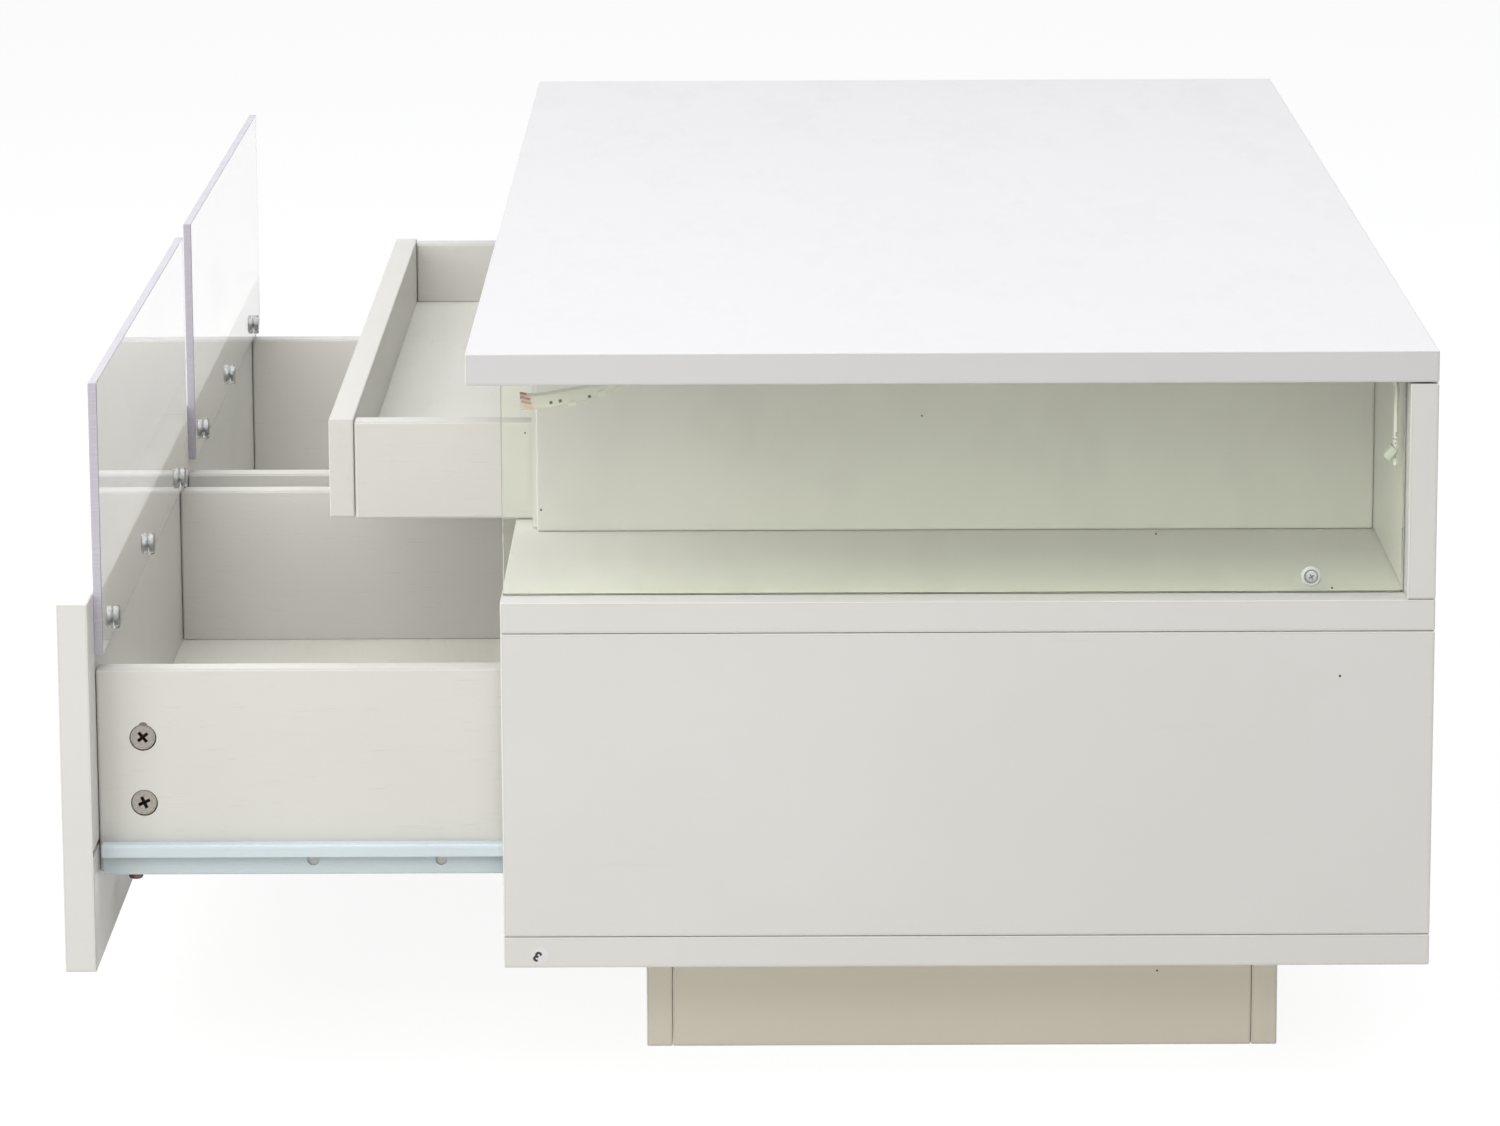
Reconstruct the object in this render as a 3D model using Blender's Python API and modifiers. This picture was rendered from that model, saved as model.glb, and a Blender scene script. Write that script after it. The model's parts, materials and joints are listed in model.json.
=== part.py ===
"""LED coffee table.

A white board carcass stands on a set-back plinth. Above the shelf it has a glazed display
niche at each end and a shallow tray between them. Below the shelf it has two wide drawers
on roller runners, and a clear screen stands up behind each drawer front.

X runs along the table, the drawers open towards -Y and Z is up. The origin is on the floor
under the middle of the plinth. All sizes are in metres. The drawers and the tray are
modelled pulled out, as far as the DRAWER_OPEN and TRAY_OPEN values say.
"""

import math

import bmesh
import bpy
from mathutils import Matrix

# Carcass
TABLE_LENGTH = 1.200
CARCASS_DEPTH = 0.530
BOARD = 0.018
BACK_BOARD = 0.016
LOWER_OPENING = 0.178
UPPER_OPENING = 0.125
TOP_OVERHANG = 0.018
NICHE_DEPTH = 0.205
DIVIDER_RECESS = 0.014
LINER_RECESS = 0.0112
BACK_GAP = 0.001
ARRIS = 0.0008
TOUCH = 0.0003

# Plinth
PLINTH_HEIGHT = 0.070
PLINTH_BOARD = 0.015
PLINTH_INSET = 0.080

# Glass ends
GLASS = 0.005
GLASS_INSET = 0.020
GLASS_SIDE_GAP = 0.001
GLASS_ARRIS = 0.0005

# Drawer and tray boxes
BOX_BOARD = 0.015
BOX_FLOOR = 0.0035
BOX_GROOVE = 0.006
BOX_ARRIS = 0.0015

# Wide drawers
DRAWER_OPEN = 0.227
DRAWER_LENGTH = 0.450
DRAWER_HEIGHT = 0.120
DRAWER_LIFT = 0.0315
DRAWER_FLOOR_LIFT = 0.0165
FRONT_GAP = 0.002
FRONT_DROP = 0.002

# Bores for the cam locks that hold the drawer sides to the front
CAM_RADIUS = 0.0078
CAM_DEPTH = 0.0125
CAM_SETBACK = 0.0266
CAM_DROP = 0.0405
CAM_PITCH = 0.0385

# Screens behind the drawer fronts
SCREEN = 0.005
SCREEN_INSET = 0.0275
SCREEN_LAP = 0.036
SCREEN_TOP_GAP = 0.0025
SCREEN_CLOSED_GAP = 0.0015

# Screen studs
STUD_PITCH = 0.212
STUD_DROP = 0.026
STUD_RADIUS = 0.0068
STUD_CAP = 0.0036
STUD_ROUND = 0.0009
STUD_SHANK_RADIUS = 0.0025
STUD_SHANK_DEPTH = 0.012

# Tray
TRAY_OPEN = 0.1125
TRAY_DEPTH = 0.400
TRAY_HEIGHT = 0.060
TRAY_SIDE_CLEARANCE = 0.0015
TRAY_FRONT_LIFT = 0.0012
TRAY_FLOOR_LIFT = 0.0145

# Roller runners
RUNNER_SPACE = 0.013
RUNNER_STEEL = 0.0012
RUNNER_HEIGHT = 0.020
RUNNER_SETBACK = 0.0024
RUNNER_BEND = 0.0014
FOOT_WIDTH = 0.012
TRACK_WIDTH = 0.0104
TRACK_LIP = 0.0072
CHANNEL_BACK_GAP = 0.0616
CHANNEL_DEPTH = 0.010
CHANNEL_CLEARANCE = 0.0006
RUNNER_HOLE_RADIUS = 0.0035
RUNNER_HOLE_SHARES = (0.27, 0.435, 0.71, 0.88)

# Rollers and their rivets
ROLLER_RADIUS = 0.0095
ROLLER_WIDTH = 0.0066
ROLLER_HUB = 0.0046
ROLLER_RIM = 0.0032
ROLLER_ROUND = 0.0008
REAR_STANDOFF = 0.0009
ROLLER_PLAY = 0.0004
ROLLER_END = 0.014
RIVET_RADIUS = 0.0022
RIVET_HEAD_RADIUS = 0.0042
RIVET_HEAD = 0.0010
RIVET_PLAY = 0.0003

# Light strips, their controller and its leads
STRIP_WIDTH = 0.010
STRIP_THICKNESS = 0.0028
STRIP_SETBACK = 0.005
STRIP_TAIL = 0.053
STRIP_TAIL_GAP = 0.0034
STRIP_BEND = 0.006
STRIP_FRONT_GAP = 0.0115
DROOP_LENGTH = 0.0735
DROOP_DEPTH = 0.0098
DROOP_TURN = math.radians(80)
DROOP_TURN_RATE = 1.55
DROOP_EASE = 2
LEAD_WIDTH = 0.005
LEAD_THICKNESS = 0.0016
LEAD_SETBACK = 0.020
LEAD_CLEARANCE = 0.002
CONTROLLER_LENGTH = 0.075
CONTROLLER_WIDTH = 0.032
CONTROLLER_HEIGHT = 0.016
NOTCH_WIDTH = 0.030
NOTCH_DEPTH = 0.012

# How far every cutter runs past what it cuts
OVERRUN = 0.002

# Counts of facets
EDGE_STEPS = 2
BEND_STEPS = 3
ROUND_STEPS = 20
DROOP_STEPS = 16

# Levels and faces that follow from the sizes above
HALF_LENGTH = TABLE_LENGTH / 2
FRONT = -CARCASS_DEPTH / 2
BACK = CARCASS_DEPTH / 2
BACK_INSIDE = BACK - BACK_BOARD
BOTTOM_TOP = PLINTH_HEIGHT + BOARD
SHELF_UNDER = BOTTOM_TOP + LOWER_OPENING
SHELF_TOP = SHELF_UNDER + BOARD
TOP_UNDER = SHELF_TOP + UPPER_OPENING
TABLE_HEIGHT = TOP_UNDER + BOARD
END_INSIDE = HALF_LENGTH - BOARD
NICHE_WALL = HALF_LENGTH - NICHE_DEPTH
TRAY_WALL = NICHE_WALL - 2 * BOARD
SCREEN_FACE = TOUCH + SCREEN
DRAWER_FACE = FRONT - SCREEN_CLOSED_GAP - SCREEN_FACE - DRAWER_OPEN
DRAWER_UNDER = BOTTOM_TOP + DRAWER_LIFT
TRAY_FACE = FRONT + BOX_BOARD - TRAY_OPEN
RUNNER_UNDER = DRAWER_UNDER - TOUCH - RUNNER_STEEL
TRACK_TOP = RUNNER_UNDER + RUNNER_HEIGHT
ROLLER_LEVEL = TRACK_TOP - RUNNER_STEEL - TOUCH - ROLLER_RADIUS
CHANNEL_UNDER = ROLLER_LEVEL - ROLLER_RADIUS - TOUCH - RUNNER_STEEL
CHANNEL_TOP = TRACK_TOP + CHANNEL_CLEARANCE + RUNNER_STEEL
FRONT_STANDOFF = RUNNER_SPACE - TRACK_WIDTH - 2 * TOUCH + ROLLER_PLAY
STRIP_EDGE = HALF_LENGTH - GLASS_INSET - GLASS - STRIP_SETBACK
LEAD_LINE = BACK_INSIDE - LEAD_SETBACK


def clear_scene():
    for thing in list(bpy.data.objects):
        bpy.data.objects.remove(thing)


def new_collection(name):
    made = bpy.data.collections.new(name)
    bpy.context.scene.collection.children.link(made)
    return made


def new_finish(name, colour, roughness, metallic=0.0, transmission=0.0):
    made = bpy.data.materials.new(name)
    made.use_nodes = True
    made.diffuse_color = (*colour, 1)
    shader = made.node_tree.nodes["Principled BSDF"]
    shader.inputs["Base Color"].default_value = (*colour, 1)
    shader.inputs["Roughness"].default_value = roughness
    shader.inputs["Metallic"].default_value = metallic
    shader.inputs["Transmission Weight"].default_value = transmission
    return made


clear_scene()
parts = new_collection("led_coffee_table")
cutters = new_collection("cutters")
cutters.hide_render = True

white_board = new_finish("white_board", (0.80, 0.79, 0.76), 0.45)
clear_glass = new_finish("clear_glass", (0.88, 0.95, 0.90), 0.03, transmission=0.9)
clear_acrylic = new_finish("clear_acrylic", (0.95, 0.93, 0.97), 0.05, transmission=0.9)
clear_plastic = new_finish("clear_plastic", (0.80, 0.82, 0.82), 0.12, transmission=0.6)
pale_epoxy = new_finish("pale_epoxy", (0.68, 0.76, 0.80), 0.35)
white_nylon = new_finish("white_nylon", (0.78, 0.78, 0.76), 0.5)
white_tape = new_finish("white_tape", (0.82, 0.82, 0.78), 0.4)
controller_plastic = new_finish("controller_plastic", (0.75, 0.75, 0.74), 0.5)


def place(shape, name, finish=None):
    """Links a mesh or curve as a part, or as a cutter where it has no finish."""
    piece = bpy.data.objects.new(name, shape)
    if finish:
        shape.materials.append(finish)
        parts.objects.link(piece)
    else:
        piece.hide_render = True
        piece.display_type = "WIRE"
        cutters.objects.link(piece)
    return piece


def block(name, x, y, z, finish=None):
    """A square-edged block over the spans x, y and z, with its origin at its middle."""
    shape = bmesh.new()
    bmesh.ops.create_cube(shape, size=1)
    sizes = [span[1] - span[0] for span in (x, y, z)]
    bmesh.ops.scale(shape, vec=sizes, verts=shape.verts)
    mesh = bpy.data.meshes.new(name)
    shape.to_mesh(mesh)
    shape.free()
    piece = place(mesh, name, finish)
    piece.location = [sum(span) / 2 for span in (x, y, z)]
    return piece


def board(name, x, y, z, finish=white_board, arris=ARRIS):
    """A block whose edges are eased."""
    piece = block(name, x, y, z, finish)
    ease = piece.modifiers.new("arris", "BEVEL")
    ease.width = arris
    ease.segments = EDGE_STEPS
    ease.limit_method = "ANGLE"
    return piece


def combine(piece, other, operation):
    change = piece.modifiers.new(other.name, "BOOLEAN")
    change.operation = operation
    change.object = other
    change.solver = "EXACT"


def cut(piece, cutter):
    combine(piece, cutter, "DIFFERENCE")


def join(piece, addition):
    combine(piece, addition, "UNION")


def grown(span, by):
    return (span[0] - by, span[1] + by)


def mirrored(side, low, high):
    """The span from low to high on the near side, or its mirror image on the far side."""
    return tuple(sorted((side * low, side * high)))


def turned(name, profile, finish=None):
    """A profile of (radius, height) points, from the top down its outer side, turned about Z."""
    shape = bmesh.new()
    ring = [shape.verts.new((radius, 0, height)) for radius, height in profile]
    for start, end in zip(ring, ring[1:]):
        shape.edges.new((start, end))
    if profile[0][0] > 0:
        shape.edges.new((ring[-1], ring[0]))
    mesh = bpy.data.meshes.new(name)
    shape.to_mesh(mesh)
    shape.free()
    piece = place(mesh, name, finish)
    turn = piece.modifiers.new("turn", "SCREW")
    turn.steps = turn.render_steps = ROUND_STEPS
    turn.use_merge_vertices = True
    turn.merge_threshold = TOUCH / 10
    turn.use_smooth_shade = True
    return piece


def rod(name, radius, length):
    """A cutter in the shape of a rod about Z, with its origin at its middle."""
    shape = bmesh.new()
    bmesh.ops.create_cone(
        shape, cap_ends=True, segments=ROUND_STEPS, radius1=radius, radius2=radius, depth=length
    )
    mesh = bpy.data.meshes.new(name)
    shape.to_mesh(mesh)
    shape.free()
    return place(mesh, name)


def aim_along_x(piece, sign):
    piece.rotation_euler = (0, sign * math.pi / 2, 0)


def aim_along_y(piece):
    piece.rotation_euler = (-math.pi / 2, 0, 0)


def carry(body, pieces):
    """Parents the pieces to the body's empty and leaves them where they are."""
    for piece in pieces:
        piece.parent = body
        piece.matrix_parent_inverse = Matrix.Translation(body.location).inverted()


def new_body(name, location):
    body = bpy.data.objects.new(name, None)
    body.location = location
    parts.objects.link(body)
    return body


def make_carcass():
    whole = (-HALF_LENGTH, HALF_LENGTH)
    depth = (FRONT, BACK)
    board("bottom_panel", whole, depth, (PLINTH_HEIGHT, BOTTOM_TOP))
    board("shelf_panel", whole, depth, (SHELF_UNDER, SHELF_TOP))
    board("top_panel", whole, (FRONT - TOP_OVERHANG, BACK), (TOP_UNDER, TABLE_HEIGHT))
    lower = (BOTTOM_TOP + TOUCH, SHELF_UNDER - TOUCH)
    for name, side in (("near_end_panel", 1), ("far_end_panel", -1)):
        board(name, mirrored(side, END_INSIDE, HALF_LENGTH), depth, lower)
    behind = (BACK_INSIDE, BACK)
    board("lower_back_panel", grown((-END_INSIDE, END_INSIDE), -TOUCH), behind, lower)
    board("centre_partition", (-BOARD / 2, BOARD / 2), (FRONT, BACK_INSIDE - TOUCH), lower)
    upper = board("upper_back_panel", whole, behind, (SHELF_TOP + TOUCH, TOP_UNDER - BACK_GAP))
    notch = block(
        "cable_notch",
        (-NOTCH_WIDTH / 2, NOTCH_WIDTH / 2),
        grown(behind, OVERRUN),
        (TOP_UNDER - BACK_GAP - NOTCH_DEPTH, TOP_UNDER),
    )
    cut(upper, notch)


def make_divider(name, side):
    """Two boards glued face to face, the one by the tray standing a little further forward."""
    height = (SHELF_TOP + TOUCH, TOP_UNDER - TOUCH)
    rear = BACK_INSIDE - TOUCH
    outer = mirrored(side, NICHE_WALL - BOARD, NICHE_WALL)
    divider = board(name, outer, (FRONT + DIVIDER_RECESS, rear), height)
    inner = mirrored(side, TRAY_WALL, NICHE_WALL - BOARD / 2)
    liner = block(f"{name}_liner", inner, (FRONT + LINER_RECESS, rear - ARRIS), grown(height, -ARRIS))
    join(divider, liner)
    notch = block(
        f"{name}_notch",
        grown(mirrored(side, TRAY_WALL, NICHE_WALL), OVERRUN),
        grown((LEAD_LINE - LEAD_WIDTH / 2, LEAD_LINE + LEAD_WIDTH / 2), LEAD_CLEARANCE),
        (TOP_UNDER - TOUCH - LEAD_THICKNESS - LEAD_CLEARANCE, TOP_UNDER + OVERRUN),
    )
    cut(divider, notch)


def make_end_glass(name, side):
    pane = HALF_LENGTH - GLASS_INSET
    board(
        name,
        mirrored(side, pane - GLASS, pane),
        grown((FRONT, BACK_INSIDE), -GLASS_SIDE_GAP),
        (SHELF_TOP + TOUCH, TOP_UNDER - TOUCH),
        clear_glass,
        GLASS_ARRIS,
    )


def make_plinth():
    reach = HALF_LENGTH - PLINTH_INSET
    outside = CARCASS_DEPTH / 2 - PLINTH_INSET
    inside = outside - PLINTH_BOARD
    height = (0, PLINTH_HEIGHT - TOUCH)
    for name, side in (("front_plinth_rail", -1), ("back_plinth_rail", 1)):
        board(name, (-reach, reach), mirrored(side, inside, outside), height)
    between = grown((-inside, inside), -TOUCH)
    for name, side in (("near_plinth_end", 1), ("far_plinth_end", -1)):
        board(name, mirrored(side, reach - PLINTH_BOARD, reach), between, height)
    board("plinth_cross_rail", (-PLINTH_BOARD / 2, PLINTH_BOARD / 2), between, height)


def groove(piece, x, y, floor):
    cut(piece, block(f"{piece.name}_groove", x, y, grown(floor, TOUCH)))


def make_box(sides, back, bottom, x, y, z, floor_lift):
    """Two sides, a back and a grooved-in bottom over the spans x, y and z.

    y starts at the inner face of the front. Returns the pieces and the span of the floor.
    """
    floor = (z[0] + floor_lift, z[0] + floor_lift + BOX_FLOOR)
    run = (y[0] + TOUCH, y[1])
    inside = grown(x, -BOX_BOARD)
    low = board(sides[0], (x[0], inside[0]), run, z, arris=BOX_ARRIS)
    groove(low, (inside[0] - BOX_GROOVE, inside[0] + OVERRUN), grown(run, OVERRUN), floor)
    high = board(sides[1], (inside[1], x[1]), run, z, arris=BOX_ARRIS)
    groove(high, (inside[1] - OVERRUN, inside[1] + BOX_GROOVE), grown(run, OVERRUN), floor)
    back_face = y[1] - BOX_BOARD
    rear = board(back, grown(inside, -TOUCH), (back_face, y[1]), z, arris=BOX_ARRIS)
    groove(rear, grown(inside, OVERRUN), (back_face - OVERRUN, back_face + BOX_GROOVE), floor)
    seat = BOX_GROOVE - TOUCH
    base = block(bottom, grown(inside, seat), (y[0] - seat, back_face + seat), floor, white_board)
    return [low, high, rear, base], floor


def make_stud(name, x, level, screen_face):
    """A clear button whose shank goes through the screen into the front."""
    reach = SCREEN_FACE + STUD_SHANK_DEPTH
    base = reach + TOUCH
    top = base + STUD_CAP
    profile = [
        (0, top),
        (STUD_RADIUS - STUD_ROUND, top),
        (STUD_RADIUS, top - STUD_ROUND),
        (STUD_RADIUS, base),
        (STUD_SHANK_RADIUS, base),
        (STUD_SHANK_RADIUS, TOUCH),
        (0, TOUCH),
    ]
    stud = turned(name, profile, clear_plastic)
    aim_along_y(stud)
    stud.location = (x, screen_face - reach, level)
    return stud


def stud_hole(name, x, level, start, depth):
    hole = rod(name, STUD_SHANK_RADIUS + TOUCH, depth + OVERRUN)
    aim_along_y(hole)
    hole.location = (x, start - (depth - OVERRUN) / 2, level)
    return hole


def make_screened_front(name, side):
    """The drawer front with its screen and the studs that hold the screen."""
    wide = mirrored(side, FRONT_GAP / 2, HALF_LENGTH - FRONT_GAP / 2)
    tall = (PLINTH_HEIGHT - FRONT_DROP, SHELF_TOP)
    front = board(f"{name}_front", wide, (DRAWER_FACE - BOARD, DRAWER_FACE), tall)
    screen_face = DRAWER_FACE + SCREEN_FACE
    screen = board(
        f"{name}_screen",
        grown(wide, -SCREEN_INSET),
        (DRAWER_FACE + TOUCH, screen_face),
        (SHELF_TOP - SCREEN_LAP, TOP_UNDER - SCREEN_TOP_GAP),
        clear_acrylic,
        GLASS_ARRIS,
    )
    studs, holes = [], []
    level = SHELF_TOP - STUD_DROP
    for place_name, step in (("outer", 1), ("middle", 0), ("inner", -1)):
        x = side * (HALF_LENGTH / 2 + step * STUD_PITCH)
        studs.append(make_stud(f"{name}_{place_name}_stud", x, level, screen_face))
        through = stud_hole(f"{name}_{place_name}_screen_hole", x, level, screen_face, SCREEN_FACE)
        blind = stud_hole(
            f"{name}_{place_name}_front_hole", x, level, DRAWER_FACE, STUD_SHANK_DEPTH
        )
        cut(screen, through)
        cut(front, blind)
        holes += [through, blind]
    return front, [front, screen, *studs, *holes]


def bore_for_cams(side_board, face, inward):
    """Two blind bores, one above the other, in the side board's outer face near the front."""
    level = DRAWER_UNDER + DRAWER_HEIGHT - CAM_DROP
    for z in (level, level - CAM_PITCH):
        bore = rod(f"{side_board.name}_cam_bore", CAM_RADIUS, CAM_DEPTH + OVERRUN)
        aim_along_x(bore, inward)
        bore.location = (face + inward * (CAM_DEPTH - OVERRUN) / 2, DRAWER_FACE + CAM_SETBACK, z)
        cut(side_board, bore)


def make_drawer(name, side):
    body = new_body(f"{name}_body", (side * HALF_LENGTH / 2, DRAWER_FACE, 0))
    front, pieces = make_screened_front(name, side)
    x = mirrored(side, BOARD / 2 + RUNNER_SPACE, END_INSIDE - RUNNER_SPACE)
    y = (DRAWER_FACE, DRAWER_FACE + DRAWER_LENGTH)
    z = (DRAWER_UNDER, DRAWER_UNDER + DRAWER_HEIGHT)
    sides = (f"{name}_inner_side", f"{name}_outer_side")[::side]
    box, floor = make_box(sides, f"{name}_back", f"{name}_bottom", x, y, z, DRAWER_FLOOR_LIFT)
    bore_for_cams(box[0], x[0], 1)
    bore_for_cams(box[1], x[1], -1)
    ends = grown(mirrored(side, 0, HALF_LENGTH), OVERRUN)
    groove(front, ends, (DRAWER_FACE - BOX_GROOVE, DRAWER_FACE + OVERRUN), floor)
    for place_name, wall, outward in (("outer", END_INSIDE, 1), ("inner", BOARD / 2, -1)):
        pieces += make_runner(f"{name}_{place_name}", side * wall, side * outward)
    carry(body, pieces + box + [thing for thing in cutters.objects if not thing.parent])


def rounded_path(points, radius):
    """The path with its inner corners replaced by arcs of the given radius."""
    path = [points[0]]
    for before, corner, after in zip(points, points[1:], points[2:]):
        start = step_towards(corner, before, radius)
        end = step_towards(corner, after, radius)
        for step in range(BEND_STEPS + 1):
            share = step / BEND_STEPS
            path.append(bezier_point(start, corner, end, share))
    return [*path, points[-1]]


def step_towards(start, goal, distance):
    length = math.dist(start, goal)
    return tuple(a + (b - a) * distance / length for a, b in zip(start, goal))


def bezier_point(start, corner, end, share):
    rest = 1 - share
    return tuple(
        rest * rest * a + 2 * rest * share * b + share * share * c
        for a, b, c in zip(start, corner, end)
    )


def bent_sheet(name, profile, y):
    """Sheet steel bent to a profile of (x, z) points on its middle line, over the span y."""
    shape = bmesh.new()
    path = rounded_path(profile, RUNNER_BEND)
    line = [shape.verts.new((across, y[0], up)) for across, up in path]
    edges = [shape.edges.new(pair) for pair in zip(line, line[1:])]
    swept = bmesh.ops.extrude_edge_only(shape, edges=edges)
    moved = [item for item in swept["geom"] if isinstance(item, bmesh.types.BMVert)]
    bmesh.ops.translate(shape, vec=(0, y[1] - y[0], 0), verts=moved)
    bmesh.ops.recalc_face_normals(shape, faces=shape.faces)
    mesh = bpy.data.meshes.new(name)
    shape.to_mesh(mesh)
    shape.free()
    sheet = place(mesh, name, pale_epoxy)
    wall = sheet.modifiers.new("steel", "SOLIDIFY")
    wall.thickness = RUNNER_STEEL
    wall.offset = 0
    wall.use_even_offset = True
    return sheet


def drill(sheet, x, y):
    """Screw holes through the upright web of a runner, at its roller level."""
    length = y[1] - y[0]
    for share in RUNNER_HOLE_SHARES:
        hole = rod(f"{sheet.name}_hole", RUNNER_HOLE_RADIUS, RUNNER_STEEL + 2 * OVERRUN)
        aim_along_x(hole, 1)
        hole.location = (x, y[0] + share * length, ROLLER_LEVEL)
        cut(sheet, hole)


def make_rivet(sheet, x, y, sign, standoff):
    """A rivet that stands on the web at x and points along X by sign, joined to its sheet."""
    shank = RUNNER_STEEL / 2 + standoff + ROLLER_HUB + RIVET_PLAY
    profile = [
        (0, shank + RIVET_HEAD),
        (RIVET_HEAD_RADIUS, shank + RIVET_HEAD),
        (RIVET_HEAD_RADIUS, shank),
        (RIVET_RADIUS, shank),
        (RIVET_RADIUS, 0),
        (0, 0),
    ]
    rivet = turned(f"{sheet.name}_rivet", profile)
    aim_along_x(rivet, sign)
    rivet.location = (x, y, ROLLER_LEVEL)
    join(sheet, rivet)


def make_roller(name, x, y, sign, standoff):
    """A nylon roller that turns on the rivet at x, recessed towards the rivet's head."""
    bore = RIVET_RADIUS + RIVET_PLAY
    tread = ROLLER_RADIUS - ROLLER_ROUND
    recess = ROLLER_RADIUS - ROLLER_RIM
    profile = [
        (recess, ROLLER_WIDTH),
        (tread, ROLLER_WIDTH),
        (ROLLER_RADIUS, ROLLER_WIDTH - ROLLER_ROUND),
        (ROLLER_RADIUS, ROLLER_ROUND),
        (tread, 0),
        (bore, 0),
        (bore, ROLLER_HUB),
        (recess, ROLLER_HUB),
    ]
    roller = turned(name, profile, white_nylon)
    aim_along_x(roller, sign)
    roller.location = (x + sign * (RUNNER_STEEL / 2 + standoff), y, ROLLER_LEVEL)
    return roller


def make_channel(name, wall, outward):
    """The runner half that is screwed to the carcass, with the roller at its front end."""
    web = wall - outward * (TOUCH + RUNNER_STEEL / 2)
    lip = wall - outward * (TOUCH + CHANNEL_DEPTH)
    low = CHANNEL_UNDER + RUNNER_STEEL / 2
    high = CHANNEL_TOP - RUNNER_STEEL / 2
    y = (FRONT + RUNNER_SETBACK, BACK_INSIDE - CHANNEL_BACK_GAP)
    profile = [(lip, high), (web, high), (web, low), (lip, low)]
    channel = bent_sheet(f"{name}_channel", profile, y)
    drill(channel, web, y)
    axle = y[0] + ROLLER_END
    make_rivet(channel, web, axle, -outward, FRONT_STANDOFF)
    make_roller(f"{name}_front_roller", web, axle, -outward, FRONT_STANDOFF)


def make_track(name, wall, outward):
    """The runner half that carries the drawer side, with the roller at its rear end."""
    side = wall - outward * RUNNER_SPACE
    web = side + outward * (TOUCH + RUNNER_STEEL / 2)
    foot = side - outward * FOOT_WIDTH
    lip = side + outward * (TOUCH + TRACK_WIDTH - RUNNER_STEEL / 2)
    low = RUNNER_UNDER + RUNNER_STEEL / 2
    high = TRACK_TOP - RUNNER_STEEL / 2
    start = DRAWER_FACE + RUNNER_SETBACK
    y = (start, DRAWER_FACE + DRAWER_LENGTH)
    profile = [(foot, low), (web, low), (web, high), (lip, high), (lip, TRACK_TOP - TRACK_LIP)]
    track = bent_sheet(f"{name}_track", profile, y)
    drill(track, web, y)
    axle = y[1] - ROLLER_END
    make_rivet(track, web, axle, outward, REAR_STANDOFF)
    roller = make_roller(f"{name}_rear_roller", web, axle, outward, REAR_STANDOFF)
    return [track, roller]


def make_runner(name, wall, outward):
    """A pair of runner halves between a carcass wall and a drawer side."""
    fixed = set(cutters.objects)
    make_channel(name, wall, outward)
    anchor = bpy.data.objects["cutter_anchor"]
    carry(anchor, [thing for thing in cutters.objects if thing not in fixed])
    return make_track(name, wall, outward)


def make_tray():
    half = TRAY_WALL - TRAY_SIDE_CLEARANCE
    wide = (-half, half)
    low = SHELF_TOP + TOUCH
    body = new_body("tray_body", (0, TRAY_FACE, low))
    z = (low, low + TRAY_HEIGHT)
    front_face = TRAY_FACE - BOX_BOARD
    y = (TRAY_FACE, front_face + TRAY_DEPTH)
    lifted = (z[0] + TRAY_FRONT_LIFT, z[1] + TRAY_FRONT_LIFT)
    front = board("tray_front", wide, (front_face, TRAY_FACE), lifted, arris=ARRIS)
    sides = ("far_tray_side", "near_tray_side")
    box, floor = make_box(sides, "tray_back", "tray_bottom", wide, y, z, TRAY_FLOOR_LIFT)
    between = grown(wide, BOX_GROOVE - BOX_BOARD)
    groove(front, between, (TRAY_FACE - BOX_GROOVE, TRAY_FACE + OVERRUN), floor)
    carry(body, [front, *box] + [thing for thing in cutters.objects if not thing.parent])


def strip_path(droop):
    """(y, z, tilt) points from the strip's tail on the back panel to its end at the front."""
    half = STRIP_THICKNESS / 2
    wall = BACK_INSIDE - STRIP_TAIL_GAP - half
    flat = TOP_UNDER - TOUCH - half
    path = [(wall, TOP_UNDER - STRIP_TAIL, 0)]
    for step in range(BEND_STEPS + 2):
        turn = quarter_turn(step / (BEND_STEPS + 1))
        y = wall - STRIP_BEND * (1 - math.cos(turn))
        path.append((y, flat - STRIP_BEND * (1 - math.sin(turn)), 0))
    end = FRONT + STRIP_FRONT_GAP
    for step in range(DROOP_STEPS + 1):
        share = step / DROOP_STEPS
        y = end + DROOP_LENGTH * (1 - share)
        turned_share = math.sin(quarter_turn(DROOP_TURN_RATE * share)) ** 2
        tilt = droop * DROOP_TURN * turned_share
        hang = half * math.cos(tilt) + STRIP_WIDTH / 2 * math.sin(tilt)
        sag = droop * DROOP_DEPTH * math.sin(quarter_turn(share)) ** DROOP_EASE
        path.append((y, TOP_UNDER - TOUCH - hang - sag, tilt))
    return path


def quarter_turn(share):
    """The angle at a share of a quarter turn, which is also the most that it gives."""
    return math.pi / 2 * min(1, share)


def make_strip(name, side, droop):
    """A flat light strip stuck under the top behind the end glass.

    Where it droops, the front end has come away from the top and turned on its edge.
    """
    line = bpy.data.curves.new(name, "CURVE")
    line.dimensions = "3D"
    line.twist_mode = "MINIMUM"
    line.extrude = (STRIP_WIDTH - STRIP_THICKNESS) / 2
    line.bevel_depth = STRIP_THICKNESS / 2
    line.bevel_resolution = 0
    line.use_fill_caps = True
    path = strip_path(droop)
    spline = line.splines.new("POLY")
    spline.points.add(len(path) - 1)
    for point, (y, z, tilt) in zip(spline.points, path):
        point.co = (y, z, 0, 1)
        point.tilt = tilt
    strip = place(line, name, white_tape)
    middle = STRIP_EDGE - STRIP_WIDTH / 2
    axes = Matrix(((0, 0, 1), (1, 0, 0), (0, 1, 0))).to_4x4()
    strip.matrix_world = Matrix.Translation((side * middle, 0, 0)) @ axes
    return strip


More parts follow.
